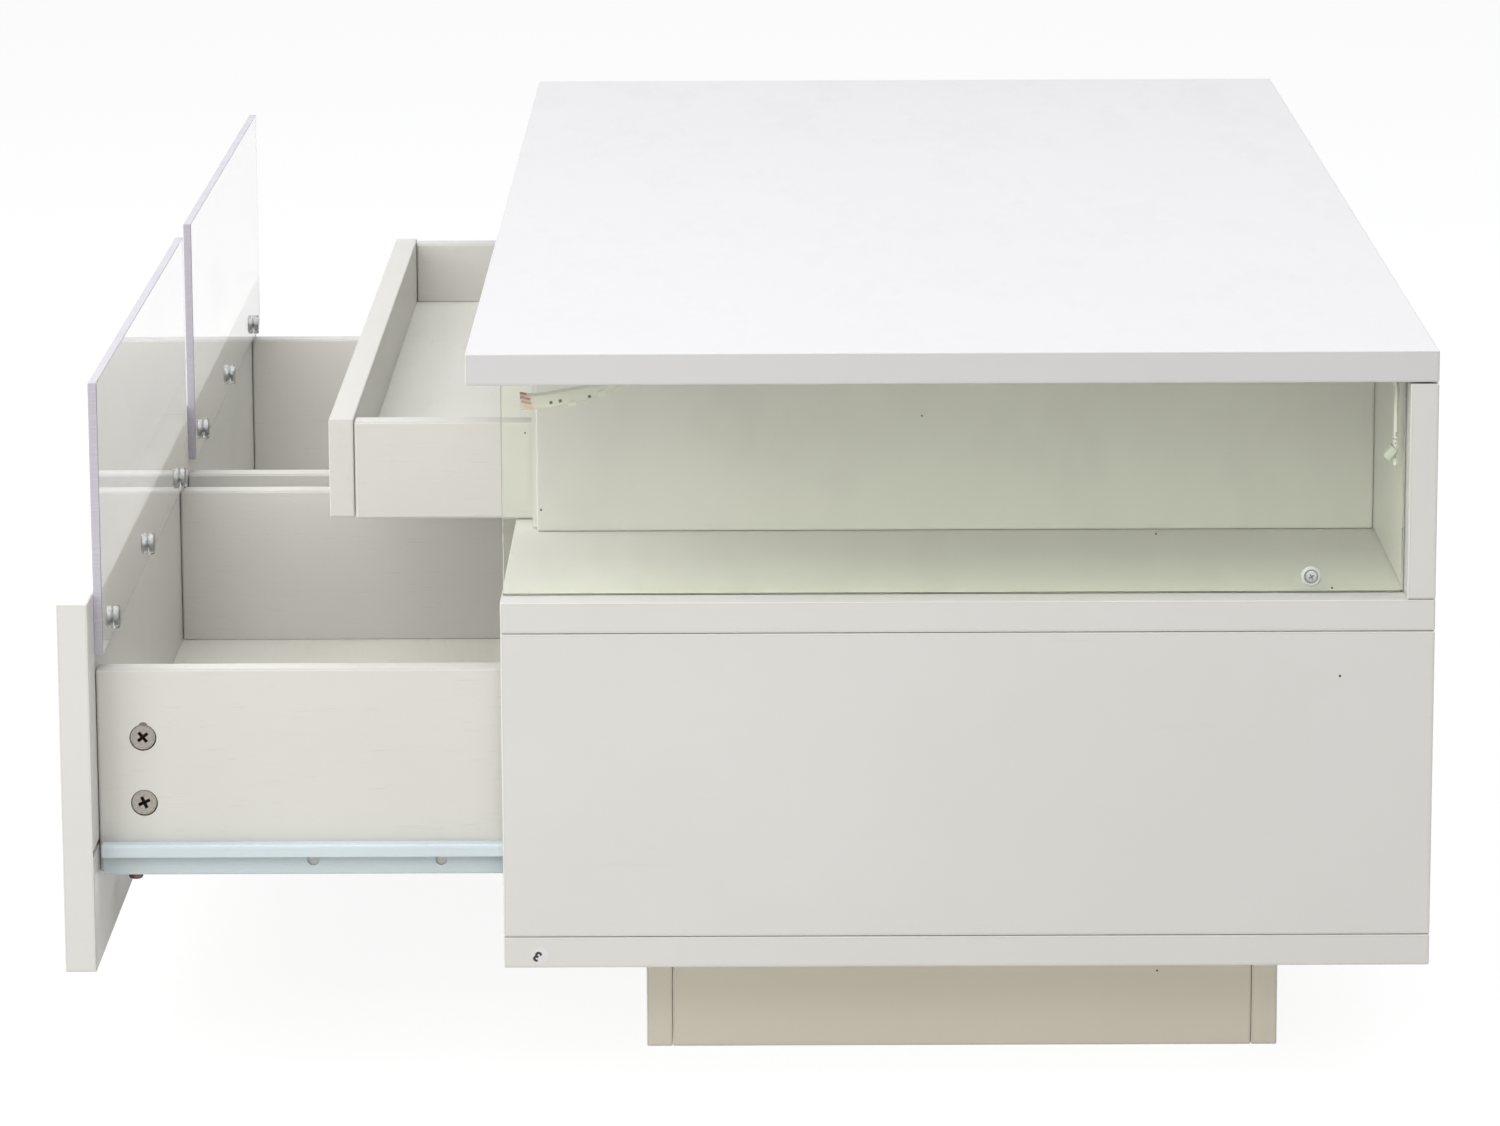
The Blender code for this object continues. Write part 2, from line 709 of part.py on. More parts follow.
def make_controller():
    """The flat controller box under the top, with a lead to each strip."""
    roof = TOP_UNDER - TOUCH
    length = (-CONTROLLER_LENGTH / 2, CONTROLLER_LENGTH / 2)
    width = (LEAD_LINE - CONTROLLER_WIDTH / 2, LEAD_LINE + CONTROLLER_WIDTH / 2)
    box = board("led_controller", length, width, (roof - CONTROLLER_HEIGHT, roof), controller_plastic)
    reach = STRIP_EDGE - STRIP_WIDTH - TOUCH
    lead = block(
        "controller_lead",
        (-reach, reach),
        (LEAD_LINE - LEAD_WIDTH / 2, LEAD_LINE + LEAD_WIDTH / 2),
        (roof - LEAD_THICKNESS, roof),
    )
    join(box, lead)


make_carcass()
make_plinth()
for end, direction, hanging in (("near", 1, 1), ("far", -1, 0)):
    make_divider(f"{end}_divider", direction)
    make_end_glass(f"{end}_end_glass", direction)
    make_strip(f"{end}_led_strip", direction, hanging)
make_controller()
anchor = bpy.data.objects.new("cutter_anchor", None)
cutters.objects.link(anchor)
carry(anchor, [thing for thing in cutters.objects if thing is not anchor])
make_drawer("near_drawer", 1)
make_drawer("far_drawer", -1)
make_tray()
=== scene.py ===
import json
import math
import bmesh
import bpy
from mathutils import Matrix, Vector
from mathutils.bvhtree import BVHTree


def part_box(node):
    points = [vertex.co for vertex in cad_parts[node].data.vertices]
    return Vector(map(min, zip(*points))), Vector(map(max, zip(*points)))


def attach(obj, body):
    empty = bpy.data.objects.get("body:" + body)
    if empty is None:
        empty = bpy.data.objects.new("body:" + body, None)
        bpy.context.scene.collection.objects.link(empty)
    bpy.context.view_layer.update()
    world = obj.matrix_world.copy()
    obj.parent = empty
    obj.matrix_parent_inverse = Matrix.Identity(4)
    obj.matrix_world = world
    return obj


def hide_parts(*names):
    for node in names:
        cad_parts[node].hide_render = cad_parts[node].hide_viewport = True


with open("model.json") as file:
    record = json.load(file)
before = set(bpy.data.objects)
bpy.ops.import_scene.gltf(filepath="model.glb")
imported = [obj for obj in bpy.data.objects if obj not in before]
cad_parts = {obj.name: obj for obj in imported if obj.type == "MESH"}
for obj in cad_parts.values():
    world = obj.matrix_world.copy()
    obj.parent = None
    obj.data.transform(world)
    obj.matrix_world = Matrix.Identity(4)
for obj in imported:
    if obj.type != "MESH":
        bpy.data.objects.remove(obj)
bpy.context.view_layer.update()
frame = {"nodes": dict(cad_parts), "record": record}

nodes = frame["nodes"]
bodyOf = {  # which body each node of the CAD rides on
    name: body
    for body, members in frame["record"]["behaviour"]["bodies"].items()
    for name in members
}
print("frame: the packed table is in")


# camera

photoView = {
    "place": (4.06498, -0.11338, 1.02538),
    "lens": 150.15,
    "sensor": 36,
    "turn": 90.161,
    "tilt": 78.2813,
    "roll": -0.2418,
    "clipEnd": 60,
}


def addCamera(view):
    data = bpy.data.cameras.new("photoCamera")
    data.lens = view["lens"]
    data.sensor_width = view["sensor"]
    data.clip_end = view["clipEnd"]
    camera = bpy.data.objects.new("photoCamera", data)
    bpy.context.scene.collection.objects.link(camera)
    turn = Matrix.Rotation(math.radians(view["turn"]), 4, "Z")
    tilt = Matrix.Rotation(math.radians(view["tilt"]), 4, "X")
    roll = Matrix.Rotation(math.radians(view["roll"]), 4, "Z")
    camera.matrix_world = Matrix.Translation(view["place"]) @ turn @ tilt @ roll
    bpy.context.scene.camera = camera


addCamera(photoView)
print("camera: placed")


# shader helpers


def addNode(tree, kind, **settings):
    node = tree.nodes.new(kind)
    for name, value in settings.items():
        setattr(node, name, value)
    return node


def plug(tree, value, socket):  # a link for a socket, a fixed value for anything else
    if isinstance(value, bpy.types.NodeSocket):
        tree.links.new(value, socket)
    elif socket.type == "RGBA":
        socket.default_value = (*value[:3], 1)
    else:
        socket.default_value = value


def doMath(tree, operation, *values, clamp=False):
    node = addNode(tree, "ShaderNodeMath", operation=operation, use_clamp=clamp)
    for value, socket in zip(values, node.inputs):
        plug(tree, value, socket)
    return node.outputs[0]


def doVector(tree, operation, *values):
    node = addNode(tree, "ShaderNodeVectorMath", operation=operation)
    for value, socket in zip(values, node.inputs):
        plug(tree, value, socket)
    return node.outputs[0]


def fade(tree, value, start, end, low=0.0, high=1.0):  # smooth step from start to end
    node = addNode(tree, "ShaderNodeMapRange", interpolation_type="SMOOTHSTEP")
    for given, socket in zip((value, start, end, low, high), node.inputs):
        plug(tree, given, socket)
    return node.outputs[0]


def mixColour(tree, share, first, second, blend="MIX"):
    node = addNode(tree, "ShaderNodeMix", data_type="RGBA", blend_type=blend)
    for value, socket in ((share, node.inputs[0]), (first, node.inputs[6]), (second, node.inputs[7])):
        plug(tree, value, socket)
    return node.outputs[2]


def layOver(tree, colour, mask, share, over):  # a second colour where the mask is, at a share
    return mixColour(tree, doMath(tree, "MULTIPLY", mask, share), colour, over)


def toned(colour, share):  # the same colour made lighter or darker
    return tuple(share * part for part in colour)


patterns = {  # cells per metre, detail, roughness, and for most of them where they fade in
    "ragged": (900, 3, 0.5),
    "uneven": (14, 2, 0.5),
    "patches": (9, 4, 0.7, 0.5, 0.68),
    "coarse": (420, 2, 0.5),
    "fine": (1500, 3, 0.65),
    "mottle": (6, 4, 0.55, 0.3, 0.7),
    "haze": (2.2, 6, 0.62, 0.42, 0.75),
    "pores": (900, 2, 0.5, 0.6, 0.72),
    "breaks": (160, 2, 0.5, 0.42, 0.6),
    "streaks": (120, 5, 0.6),
    "rubs": (60, 5, 0.7, 0.62, 0.72),
    "rubbedPlaces": (4, 2, 0.5, 0.5, 0.68),
    "sawMarks": (1.0, 3, 0.5, 0.35, 0.65),
    "rimTint": (18, 3, 0.5, 0.3, 0.7),
    "blotches": (700, 4, 0.7, 0.35, 0.65),
}


def noise(tree, vector, name):
    scale, detail, roughness, *span = patterns[name]
    node = addNode(tree, "ShaderNodeTexNoise")
    plug(tree, vector, node.inputs["Vector"])
    node.inputs["Scale"].default_value = scale
    node.inputs["Detail"].default_value = detail
    node.inputs["Roughness"].default_value = roughness
    return fade(tree, node.outputs["Fac"], *span) if span else node.outputs["Fac"]


def stretched(tree, vector, scale, turn=(0, 0, 0)):
    node = addNode(tree, "ShaderNodeMapping")
    plug(tree, vector, node.inputs["Vector"])
    node.inputs["Scale"].default_value = scale
    node.inputs["Rotation"].default_value = turn
    return node.outputs[0]


def newGroup(name, inputs, outputs):
    tree = bpy.data.node_groups.new(name, "ShaderNodeTree")
    for label, kind, value in inputs:
        socket = tree.interface.new_socket(label, in_out="INPUT", socket_type="NodeSocket" + kind)
        socket.default_value = value
    for label in outputs:
        tree.interface.new_socket(label, in_out="OUTPUT", socket_type="NodeSocketFloat")
    return tree, addNode(tree, "NodeGroupInput").outputs, addNode(tree, "NodeGroupOutput").inputs


def useGroup(tree, group, **values):
    node = addNode(tree, "ShaderNodeGroup", node_tree=group)
    for name, value in values.items():
        plug(tree, value, node.inputs[name])
    return node.outputs


# effects that several materials share

effectSizes = {
    "glueWidth": 0.0006, "leastWear": 0.1,
    "coarseShare": 0.6, "wipeStretch": (3, 11, 7), "wipeTurn": (0.4, 0.2, 0.7),
    "leastSpeck": 0.5, "speckCore": 0.6,
}


def makeBoardEdges():  # the glue line of the edging, and wear along the corners of a board
    tree, given, out = newGroup(
        "boardEdges",
        [("Place", "Vector", (0, 0, 0)), ("Low", "Vector", (0, 0, 0)), ("High", "Vector", (1, 1, 1)),
         ("Edging", "Float", 0.001), ("Wear", "Float", 0.002)],
        ["Line", "Worn"],
    )
    below = doVector(tree, "SUBTRACT", given["Place"], given["Low"])
    above = doVector(tree, "SUBTRACT", given["High"], given["Place"])
    nearest = doVector(tree, "ABSOLUTE", doVector(tree, "MINIMUM", below, above))
    parts = addNode(tree, "ShaderNodeSeparateXYZ")
    plug(tree, nearest, parts.inputs[0])
    x, y, z = parts.outputs
    least = doMath(tree, "MINIMUM", x, y)
    most = doMath(tree, "MINIMUM", doMath(tree, "MAXIMUM", x, y), z)
    edge = doMath(tree, "MAXIMUM", least, most)  # the second smallest: how far the nearest corner line is
    off = doMath(tree, "ABSOLUTE", doMath(tree, "SUBTRACT", edge, given["Edging"]))
    width = doMath(tree, "MULTIPLY", noise(tree, given["Place"], "uneven"), effectSizes["glueWidth"])
    plug(tree, fade(tree, off, 0.0, width, 1.0, 0.0), out["Line"])
    ragged = doMath(tree, "ADD", noise(tree, given["Place"], "ragged"), effectSizes["leastWear"])
    rubbed = fade(tree, edge, 0.0, doMath(tree, "MULTIPLY", given["Wear"], ragged), 1.0, 0.0)
    plug(tree, doMath(tree, "MULTIPLY", rubbed, noise(tree, given["Place"], "patches")), out["Worn"])
    return tree


def makeFineSurface():  # the pearl of a pressed face and the slow change of its tone
    tree, given, out = newGroup(
        "fineSurface",
        [("Place", "Vector", (0, 0, 0))],
        ["Height", "Mottle", "Haze"],
    )
    share = effectSizes["coarseShare"]
    coarse = doMath(tree, "MULTIPLY", noise(tree, given["Place"], "coarse"), share)
    fine = doMath(tree, "MULTIPLY", noise(tree, given["Place"], "fine"), 1 - share)
    plug(tree, doMath(tree, "ADD", coarse, fine), out["Height"])
    plug(tree, noise(tree, given["Place"], "mottle"), out["Mottle"])
    wiped = stretched(tree, given["Place"], effectSizes["wipeStretch"], effectSizes["wipeTurn"])
    plug(tree, noise(tree, wiped, "haze"), out["Haze"])
    return tree


def makeFoilGrain():  # the faint long pores of a printed wood foil
    tree, given, out = newGroup(
        "foilGrain",
        [("Place", "Vector", (0, 0, 0)), ("Along", "Vector", (1, 1, 1))],
        ["Pores", "Streaks"],
    )
    run = doVector(tree, "MULTIPLY", given["Place"], given["Along"])
    pores = doMath(tree, "MULTIPLY", noise(tree, run, "pores"), noise(tree, run, "breaks"))
    plug(tree, pores, out["Pores"])
    plug(tree, noise(tree, run, "streaks"), out["Streaks"])
    return tree


def makeSpecks():  # a few dark specks and pinholes, most cells stay empty
    tree, given, out = newGroup(
        "specks",
        [("Place", "Vector", (0, 0, 0)), ("Density", "Float", 24.0),
         ("Size", "Float", 0.02), ("Share", "Float", 0.1)],
        ["Dots"],
    )
    cells = addNode(tree, "ShaderNodeTexVoronoi")
    plug(tree, given["Place"], cells.inputs["Vector"])
    plug(tree, given["Density"], cells.inputs["Scale"])
    split = addNode(tree, "ShaderNodeSeparateColor")
    plug(tree, cells.outputs["Color"], split.inputs[0])
    chosen = doMath(tree, "LESS_THAN", split.outputs[0], given["Share"])
    share = doMath(tree, "ADD", split.outputs[1], effectSizes["leastSpeck"])
    reach = doMath(tree, "MULTIPLY", given["Size"], share)
    core = doMath(tree, "MULTIPLY", reach, effectSizes["speckCore"])
    dot = fade(tree, cells.outputs["Distance"], core, reach, 1.0, 0.0)
    plug(tree, doMath(tree, "MULTIPLY", chosen, dot), out["Dots"])
    return tree


def makeScuffs():  # thin broken rub marks that run one way
    tree, given, out = newGroup(
        "scuffs",
        [("Place", "Vector", (0, 0, 0)), ("Along", "Vector", (1, 1, 1)), ("Amount", "Float", 0.5)],
        ["Marks"],
    )
    run = doVector(tree, "MULTIPLY", given["Place"], given["Along"])
    rubs = doMath(tree, "MULTIPLY", noise(tree, run, "rubs"), noise(tree, given["Place"], "rubbedPlaces"))
    plug(tree, doMath(tree, "MULTIPLY", rubs, given["Amount"]), out["Marks"])
    return tree


effects = {
    "edges": makeBoardEdges(),
    "surface": makeFineSurface(),
    "grain": makeFoilGrain(),
    "specks": makeSpecks(),
    "scuffs": makeScuffs(),
}
print("effects: made")


# materials


def newMaterial(name):
    material = bpy.data.materials.new(name)
    material.use_nodes = True
    tree = material.node_tree
    tree.nodes.clear()
    shader = addNode(tree, "ShaderNodeBsdfPrincipled")
    tree.links.new(shader.outputs[0], addNode(tree, "ShaderNodeOutputMaterial").inputs[0])
    return material, tree, shader, addNode(tree, "ShaderNodeTexCoord").outputs["Object"]


def setFinish(shader, **values):
    for name, value in values.items():
        shader.inputs[name.replace("_", " ")].default_value = value


def addBump(tree, shader, height, strength, distance):
    bump = addNode(tree, "ShaderNodeBump")
    bump.inputs["Strength"].default_value = strength
    bump.inputs["Distance"].default_value = distance
    plug(tree, height, bump.inputs["Height"])
    tree.links.new(bump.outputs[0], shader.inputs["Normal"])


def hazed(tree, haze, gloss, dull):  # roughness from clean to hazy
    return fade(tree, haze, 0.0, 1.0, gloss, gloss + dull)


def sunk(tree, height, mask, depth):
    return doMath(tree, "SUBTRACT", height, doMath(tree, "MULTIPLY", mask, depth))


boardLook = {  # colours of what lies over a board's own, how much of each shows, dulls or goes in
    "glue": (0.42, 0.39, 0.33), "glueDepth": 0.8,
    "worn": (0.60, 0.55, 0.46), "wornShare": 0.5,
    "scuff": (0.50, 0.48, 0.45), "scuffShare": 0.5, "scuffDull": 0.2,
    "speck": (0.20, 0.17, 0.14), "speckShare": 0.75,
    "specks": {"Density": 17.0, "Size": 0.016, "Share": 0.05},
    "streakShare": 0.5, "poreShare": 0.35, "poreDepth": 1.5,
    "topShadeFrom": 0.0012, "topShadeTo": 0.0003,  # where the painted shade on the top edge starts under it, and is full
    "hazeDull": 0.1, "bumpDepth": 0.0002,
}


def makeBoard(name, low, high, finish):
    material, tree, shader, place = newMaterial(name)
    look, along = boardLook, finish["along"]
    edges = useGroup(
        tree, effects["edges"], Place=place, Low=low, High=high, Edging=finish["edging"], Wear=finish["wear"]
    )
    surface = useGroup(tree, effects["surface"], Place=place)
    dots = useGroup(tree, effects["specks"], Place=place, **look["specks"])["Dots"]
    marks = useGroup(tree, effects["scuffs"], Place=place, Along=along, Amount=finish["scuffs"])["Marks"]
    colour = mixColour(tree, surface["Mottle"], finish["colour"], finish["tone"])
    if finish["grain"]:
        grain = useGroup(tree, effects["grain"], Place=place, Along=along)
        colour = layOver(tree, colour, grain["Streaks"], look["streakShare"], finish["streak"])
        colour = layOver(tree, colour, grain["Pores"], look["poreShare"], finish["pore"])
    colour = layOver(tree, colour, edges["Line"], finish["line"], look["glue"])
    colour = layOver(tree, colour, edges["Worn"], look["wornShare"], look["worn"])
    colour = layOver(tree, colour, marks, look["scuffShare"], look["scuff"])
    colour = layOver(tree, colour, dots, look["speckShare"], look["speck"])
    parts = addNode(tree, "ShaderNodeSeparateXYZ")
    plug(tree, place, parts.inputs[0])
    # painted shade: the top edge is darkened by the cap share, so it renders less bright where the light
    # falls on it
    cap = fade(tree, parts.outputs[2], high.z - look["topShadeFrom"], high.z - look["topShadeTo"])
    colour = mixColour(tree, cap, colour, (finish["cap"],) * 3, "MULTIPLY")
    plug(tree, colour, shader.inputs["Base Color"])
    gloss = hazed(tree, surface["Haze"], finish["gloss"], look["hazeDull"])
    dull = doMath(tree, "MULTIPLY", marks, look["scuffDull"])
    plug(tree, doMath(tree, "ADD", gloss, dull), shader.inputs["Roughness"])
    height = sunk(tree, surface["Height"], edges["Line"], look["glueDepth"])
    if finish["grain"]:
        height = sunk(tree, height, grain["Pores"], look["poreDepth"])
    addBump(tree, shader, height, finish["bump"], look["bumpDepth"])
    setFinish(shader, IOR=1.5, Specular_IOR_Level=0.4)
    return material


finishes = {  # edging and wear in metres; cap: painted shade on the top edge, the share of the colour left there
    "whiteBoard": {
        "colour": (0.685, 0.677, 0.658), "tone": (0.668, 0.659, 0.638), "gloss": 0.34, "bump": 0.25,
        "edging": 0.0011, "wear": 0.0016, "line": 0.30, "scuffs": 0.25, "grain": False, "cap": 1.0,
    },
    # painted shade and painted cool light: a darker, bluer copy of the white board; the darkening offsets
    # the strong light from above and the blue stands in for its cool colour
    "shadedTopBoard": {
        "colour": (0.622, 0.619, 0.628), "tone": (0.614, 0.611, 0.620), "gloss": 0.30, "bump": 0.2,
        "edging": 0.0011, "wear": 0.0014, "line": 0.25, "scuffs": 0.2, "grain": False, "cap": 1.0,
    },
    # painted light: a yellower copy of the white board with its colour raised close to white, so the plinth,
    # which stands in shade, renders lighter
    "plinthBoard": {
        "colour": (0.950, 0.905, 0.775), "tone": (0.930, 0.885, 0.752), "gloss": 0.40, "bump": 0.3,
        "edging": 0.0009, "wear": 0.0022, "line": 0.35, "scuffs": 0.5, "grain": False, "cap": 1.0,
    },
    "foilBoard": {
        "colour": (0.680, 0.671, 0.633), "tone": (0.668, 0.658, 0.618), "gloss": 0.42, "bump": 0.35,
        "edging": 0.0008, "wear": 0.0016, "line": 0.35, "scuffs": 0.3, "grain": True, "cap": 0.85,
        "streak": (0.660, 0.649, 0.605), "pore": (0.59, 0.575, 0.52),
    },
    "hardboard": {
        "colour": (0.775, 0.765, 0.700), "tone": (0.760, 0.750, 0.684), "gloss": 0.5, "bump": 0.5,
        "edging": 0.0, "wear": 0.0010, "line": 0.0, "scuffs": 0.3, "grain": True, "cap": 1.0,
        "streak": (0.750, 0.739, 0.680), "pore": (0.65, 0.63, 0.57),
    },
}


def grainAlong(low, high, stretch=0.06):  # the pattern is drawn out along the longest side
    size = [h - l for l, h in zip(low, high)]
    return tuple(stretch if side == max(size) else 1.0 for side in size)


def setMaterial(name, material):
    slots = nodes[name].data.materials
    slots.clear()
    slots.append(material)


def dressBoard(name, finish):
    low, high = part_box(name)
    values = dict(finishes[finish], along=grainAlong(low, high))
    setMaterial(name, makeBoard(name + "Finish", low, high, values))


def letLightIn(tree, shader, tint):  # lamps reach what is behind clear pieces
    output = next(node for node in tree.nodes if node.type == "OUTPUT_MATERIAL")
    path = addNode(tree, "ShaderNodeLightPath")
    clear = addNode(tree, "ShaderNodeBsdfTransparent")
    plug(tree, tint, clear.inputs[0])
    mix = addNode(tree, "ShaderNodeMixShader")
    tree.links.new(path.outputs["Is Shadow Ray"], mix.inputs[0])
    tree.links.new(shader.outputs[0], mix.inputs[1])
    tree.links.new(clear.outputs[0], mix.inputs[2])
    tree.links.new(mix.outputs[0], output.inputs[0])


sheetLook = {
    "smearTone": 0.96, "smearDull": 0.03,
    "specks": {"Density": 55.0, "Size": 0.018, "Share": 0.05}, "dust": (0.55, 0.56, 0.52), "dustDull": 0.4,
}


def makeClearSheet(name, tint):  # glass or acrylic with wiped smears and a little dust
    material, tree, shader, place = newMaterial(name)
    look = sheetLook
    surface = useGroup(tree, effects["surface"], Place=place)
    dust = useGroup(tree, effects["specks"], Place=place, **look["specks"])["Dots"]
    colour = mixColour(tree, surface["Haze"], tint, toned(tint, look["smearTone"]))
    plug(tree, mixColour(tree, dust, colour, look["dust"]), shader.inputs["Base Color"])
    smear = doMath(tree, "MULTIPLY", surface["Haze"], look["smearDull"])
    dull = doMath(tree, "MULTIPLY", dust, look["dustDull"])
    plug(tree, doMath(tree, "ADD", smear, dull), shader.inputs["Roughness"])
    setFinish(shader, Transmission_Weight=1.0, IOR=1.46)
    letLightIn(tree, shader, tint)
    return material


rimLook = {"sawStretch": (40, 40, 900), "sawDull": 0.15, "bump": 0.15, "bumpDepth": 0.0001}


def makeSheetEdge(name, colour, tone, gloss):  # saw marks across a cut and flamed or ground edge
    material, tree, shader, place = newMaterial(name)
    look = rimLook
    saw = noise(tree, stretched(tree, place, look["sawStretch"]), "sawMarks")
    tint = noise(tree, place, "rimTint")
    plug(tree, mixColour(tree, tint, colour, tone), shader.inputs["Base Color"])
    plug(tree, hazed(tree, saw, gloss, look["sawDull"]), shader.inputs["Roughness"])
    addBump(tree, shader, saw, look["bump"], look["bumpDepth"])
    setFinish(shader, IOR=1.49)
    return material


steelLook = {
    "mottleTone": 0.95, "hazeDull": 0.12, "bump": 0.4, "bumpDepth": 0.0002,
    "scuffs": {"Along": (1, 0.05, 1), "Amount": 0.6},
    "specks": {"Density": 60.0, "Size": 0.02, "Share": 0.06}, "speck": (0.25, 0.24, 0.23), "speckShare": 0.6,
}


def makeSteel(name, colour, worn, gloss):  # powder coat on bent steel
    material, tree, shader, place = newMaterial(name)
    look = steelLook
    surface = useGroup(tree, effects["surface"], Place=place)
    marks = useGroup(tree, effects["scuffs"], Place=place, **look["scuffs"])["Marks"]
    dots = useGroup(tree, effects["specks"], Place=place, **look["specks"])["Dots"]
    body = mixColour(tree, surface["Mottle"], colour, toned(colour, look["mottleTone"]))
    body = mixColour(tree, marks, body, worn)
    body = layOver(tree, body, dots, look["speckShare"], look["speck"])
    plug(tree, body, shader.inputs["Base Color"])
    plug(tree, hazed(tree, surface["Haze"], gloss, look["hazeDull"]), shader.inputs["Roughness"])
    addBump(tree, shader, surface["Height"], look["bump"], look["bumpDepth"])
    setFinish(shader, IOR=1.5)
    return material


plasticLook = {
    "hazeDull": 0.1, "bumpDepth": 0.0001,
    "specks": {"Density": 90.0, "Size": 0.03, "Share": 0.05}, "speckTone": 0.4, "speckShare": 0.5,
}


def makePlastic(name, colour, tone, gloss, bump=0.3, clear=0.0):  # also paper, ink and chipped foil
    material, tree, shader, place = newMaterial(name)
    look = plasticLook
    surface = useGroup(tree, effects["surface"], Place=place)
    dots = useGroup(tree, effects["specks"], Place=place, **look["specks"])["Dots"]
    body = mixColour(tree, surface["Mottle"], colour, tone)
    body = layOver(tree, body, dots, look["speckShare"], toned(tone, look["speckTone"]))
    plug(tree, body, shader.inputs["Base Color"])
    plug(tree, hazed(tree, surface["Haze"], gloss, look["hazeDull"]), shader.inputs["Roughness"])
    addBump(tree, shader, surface["Height"], bump, look["bumpDepth"])
    setFinish(shader, IOR=1.49, Transmission_Weight=clear)
    if clear:
        letLightIn(tree, shader, colour)
    return material


metalLook = {"blotchDull": 0.15, "bump": 0.5, "bumpDepth": 0.0001}


def makeMetal(name, colour, tone, gloss):  # plated screws and cams
    material, tree, shader, place = newMaterial(name)
    look = metalLook
    surface = useGroup(tree, effects["surface"], Place=place)
    blotch = noise(tree, place, "blotches")
    plug(tree, mixColour(tree, blotch, colour, tone), shader.inputs["Base Color"])
    plug(tree, hazed(tree, blotch, gloss, look["blotchDull"]), shader.inputs["Roughness"])
    addBump(tree, shader, surface["Height"], look["bump"], look["bumpDepth"])
    setFinish(shader, Metallic=0.85)
    return material


palette = {
    "epoxy": makeSteel("paleEpoxySteel", (0.615, 0.700, 0.735), (0.47, 0.52, 0.54), 0.36),
    "nylon": makePlastic("whiteNylon", (0.80, 0.80, 0.78), (0.76, 0.76, 0.73), 0.4),
    "tape": makePlastic("whiteSiliconeTape", (0.72, 0.715, 0.68), (0.69, 0.685, 0.645), 0.35),
    "controller": makePlastic("controllerPlastic", (0.76, 0.76, 0.75), (0.72, 0.72, 0.70), 0.42),
    "clearPlastic": makePlastic(
        "clearButtonPlastic", (0.90, 0.92, 0.92), (0.84, 0.86, 0.86), 0.06, 0.1, clear=1.0
    ),
    "nickel": makeMetal("nickelPlate", (0.44, 0.405, 0.365), (0.355, 0.325, 0.285), 0.4),
    "zinc": makeMetal("zincScrew", (0.66, 0.66, 0.65), (0.50, 0.50, 0.49), 0.3),
    "bronze": makeMetal("brownedScrew", (0.23, 0.14, 0.11), (0.15, 0.09, 0.07), 0.42),
    "copper": makeMetal("bareCopper", (0.80, 0.50, 0.28), (0.84, 0.60, 0.38), 0.35),
    "padRed": makeMetal("redCopper", (0.62, 0.26, 0.24), (0.74, 0.42, 0.38), 0.4),
    "padDark": makeMetal("darkCopper", (0.46, 0.16, 0.16), (0.60, 0.32, 0.28), 0.4),
    "lamp": makePlastic("lampChip", (0.80, 0.80, 0.77), (0.76, 0.75, 0.68), 0.3, 0.1),
    "resistor": makePlastic("resistorBlack", (0.10, 0.10, 0.10), (0.07, 0.07, 0.07), 0.4, 0.1),
    # painted shade: this near-black finish stands in for the shade inside screw and cam recesses; it also
    # colours the real dark specks on the near end
    "shadeAndSpecks": makePlastic("recessShadeAndSpecks", (0.030, 0.024, 0.020), (0.050, 0.042, 0.034), 0.6, 0.2),
    "ring": makePlastic("hazyClearPlastic", (0.64, 0.68, 0.65), (0.58, 0.62, 0.59), 0.12, 0.1),
    # painted shade: a darker zinc for the cross recess of the button screws, standing in for the shade in
    # the recess
    "dull": makeMetal("recessShadeZinc", (0.30, 0.32, 0.32), (0.24, 0.25, 0.25), 0.4),
    "milky": makePlastic("milkyClipPlastic", (0.54, 0.56, 0.50), (0.48, 0.50, 0.45), 0.2, 0.1),
    "chip": makePlastic("chippedFoil", (0.24, 0.21, 0.19), (0.16, 0.14, 0.12), 0.6, 0.4),
    "sticker": makePlastic("stickerPaper", (0.705, 0.700, 0.712), (0.690, 0.685, 0.698), 0.45, 0.15),
    "ink": makePlastic("printedInk", (0.025, 0.025, 0.028), (0.04, 0.04, 0.04), 0.5, 0.1),
    "glassFace": makeClearSheet("clearGlass", (0.968, 0.988, 0.910)),
    "glassRim": makeSheetEdge("groundGlassEdge", (0.016, 0.027, 0.016), (0.028, 0.044, 0.028), 0.4),
    "screenFace": makeClearSheet("clearAcrylic", (0.985, 0.98, 0.985)),
    "screenRim": makeSheetEdge("polishedAcrylicEdge", (0.48, 0.455, 0.53), (0.51, 0.49, 0.55), 0.15),
}

boardFinish = {"white_board": "whiteBoard", "white_foil_board": "foilBoard", "white_hardboard": "hardboard"}
plainFinish = {
    "pale_epoxy": "epoxy", "white_nylon": "nylon", "white_tape": "tape", "controller_plastic": "controller",
    "clear_glass": "glassFace", "clear_acrylic": "screenFace", "clear_plastic": "clearPlastic",
}

for part in frame["record"]["subparts"]:
    name, slot = part["node"], part["material_slot"]
    # the top panel takes the painted-shade copy of the white board
    if name == "top_panel":
        dressBoard(name, "shadedTopBoard")
    # the plinth boards take the painted-light copy of the white board
    elif "plinth" in name:
        dressBoard(name, "plinthBoard")
    elif slot in boardFinish:
        dressBoard(name, boardFinish[slot])
    else:
        setMaterial(name, palette[plainFinish[slot]])
print("materials: on every board, pane and fitting")


# pieces


sharpAngle = math.radians(35)  # edges that fold more than this stay sharp


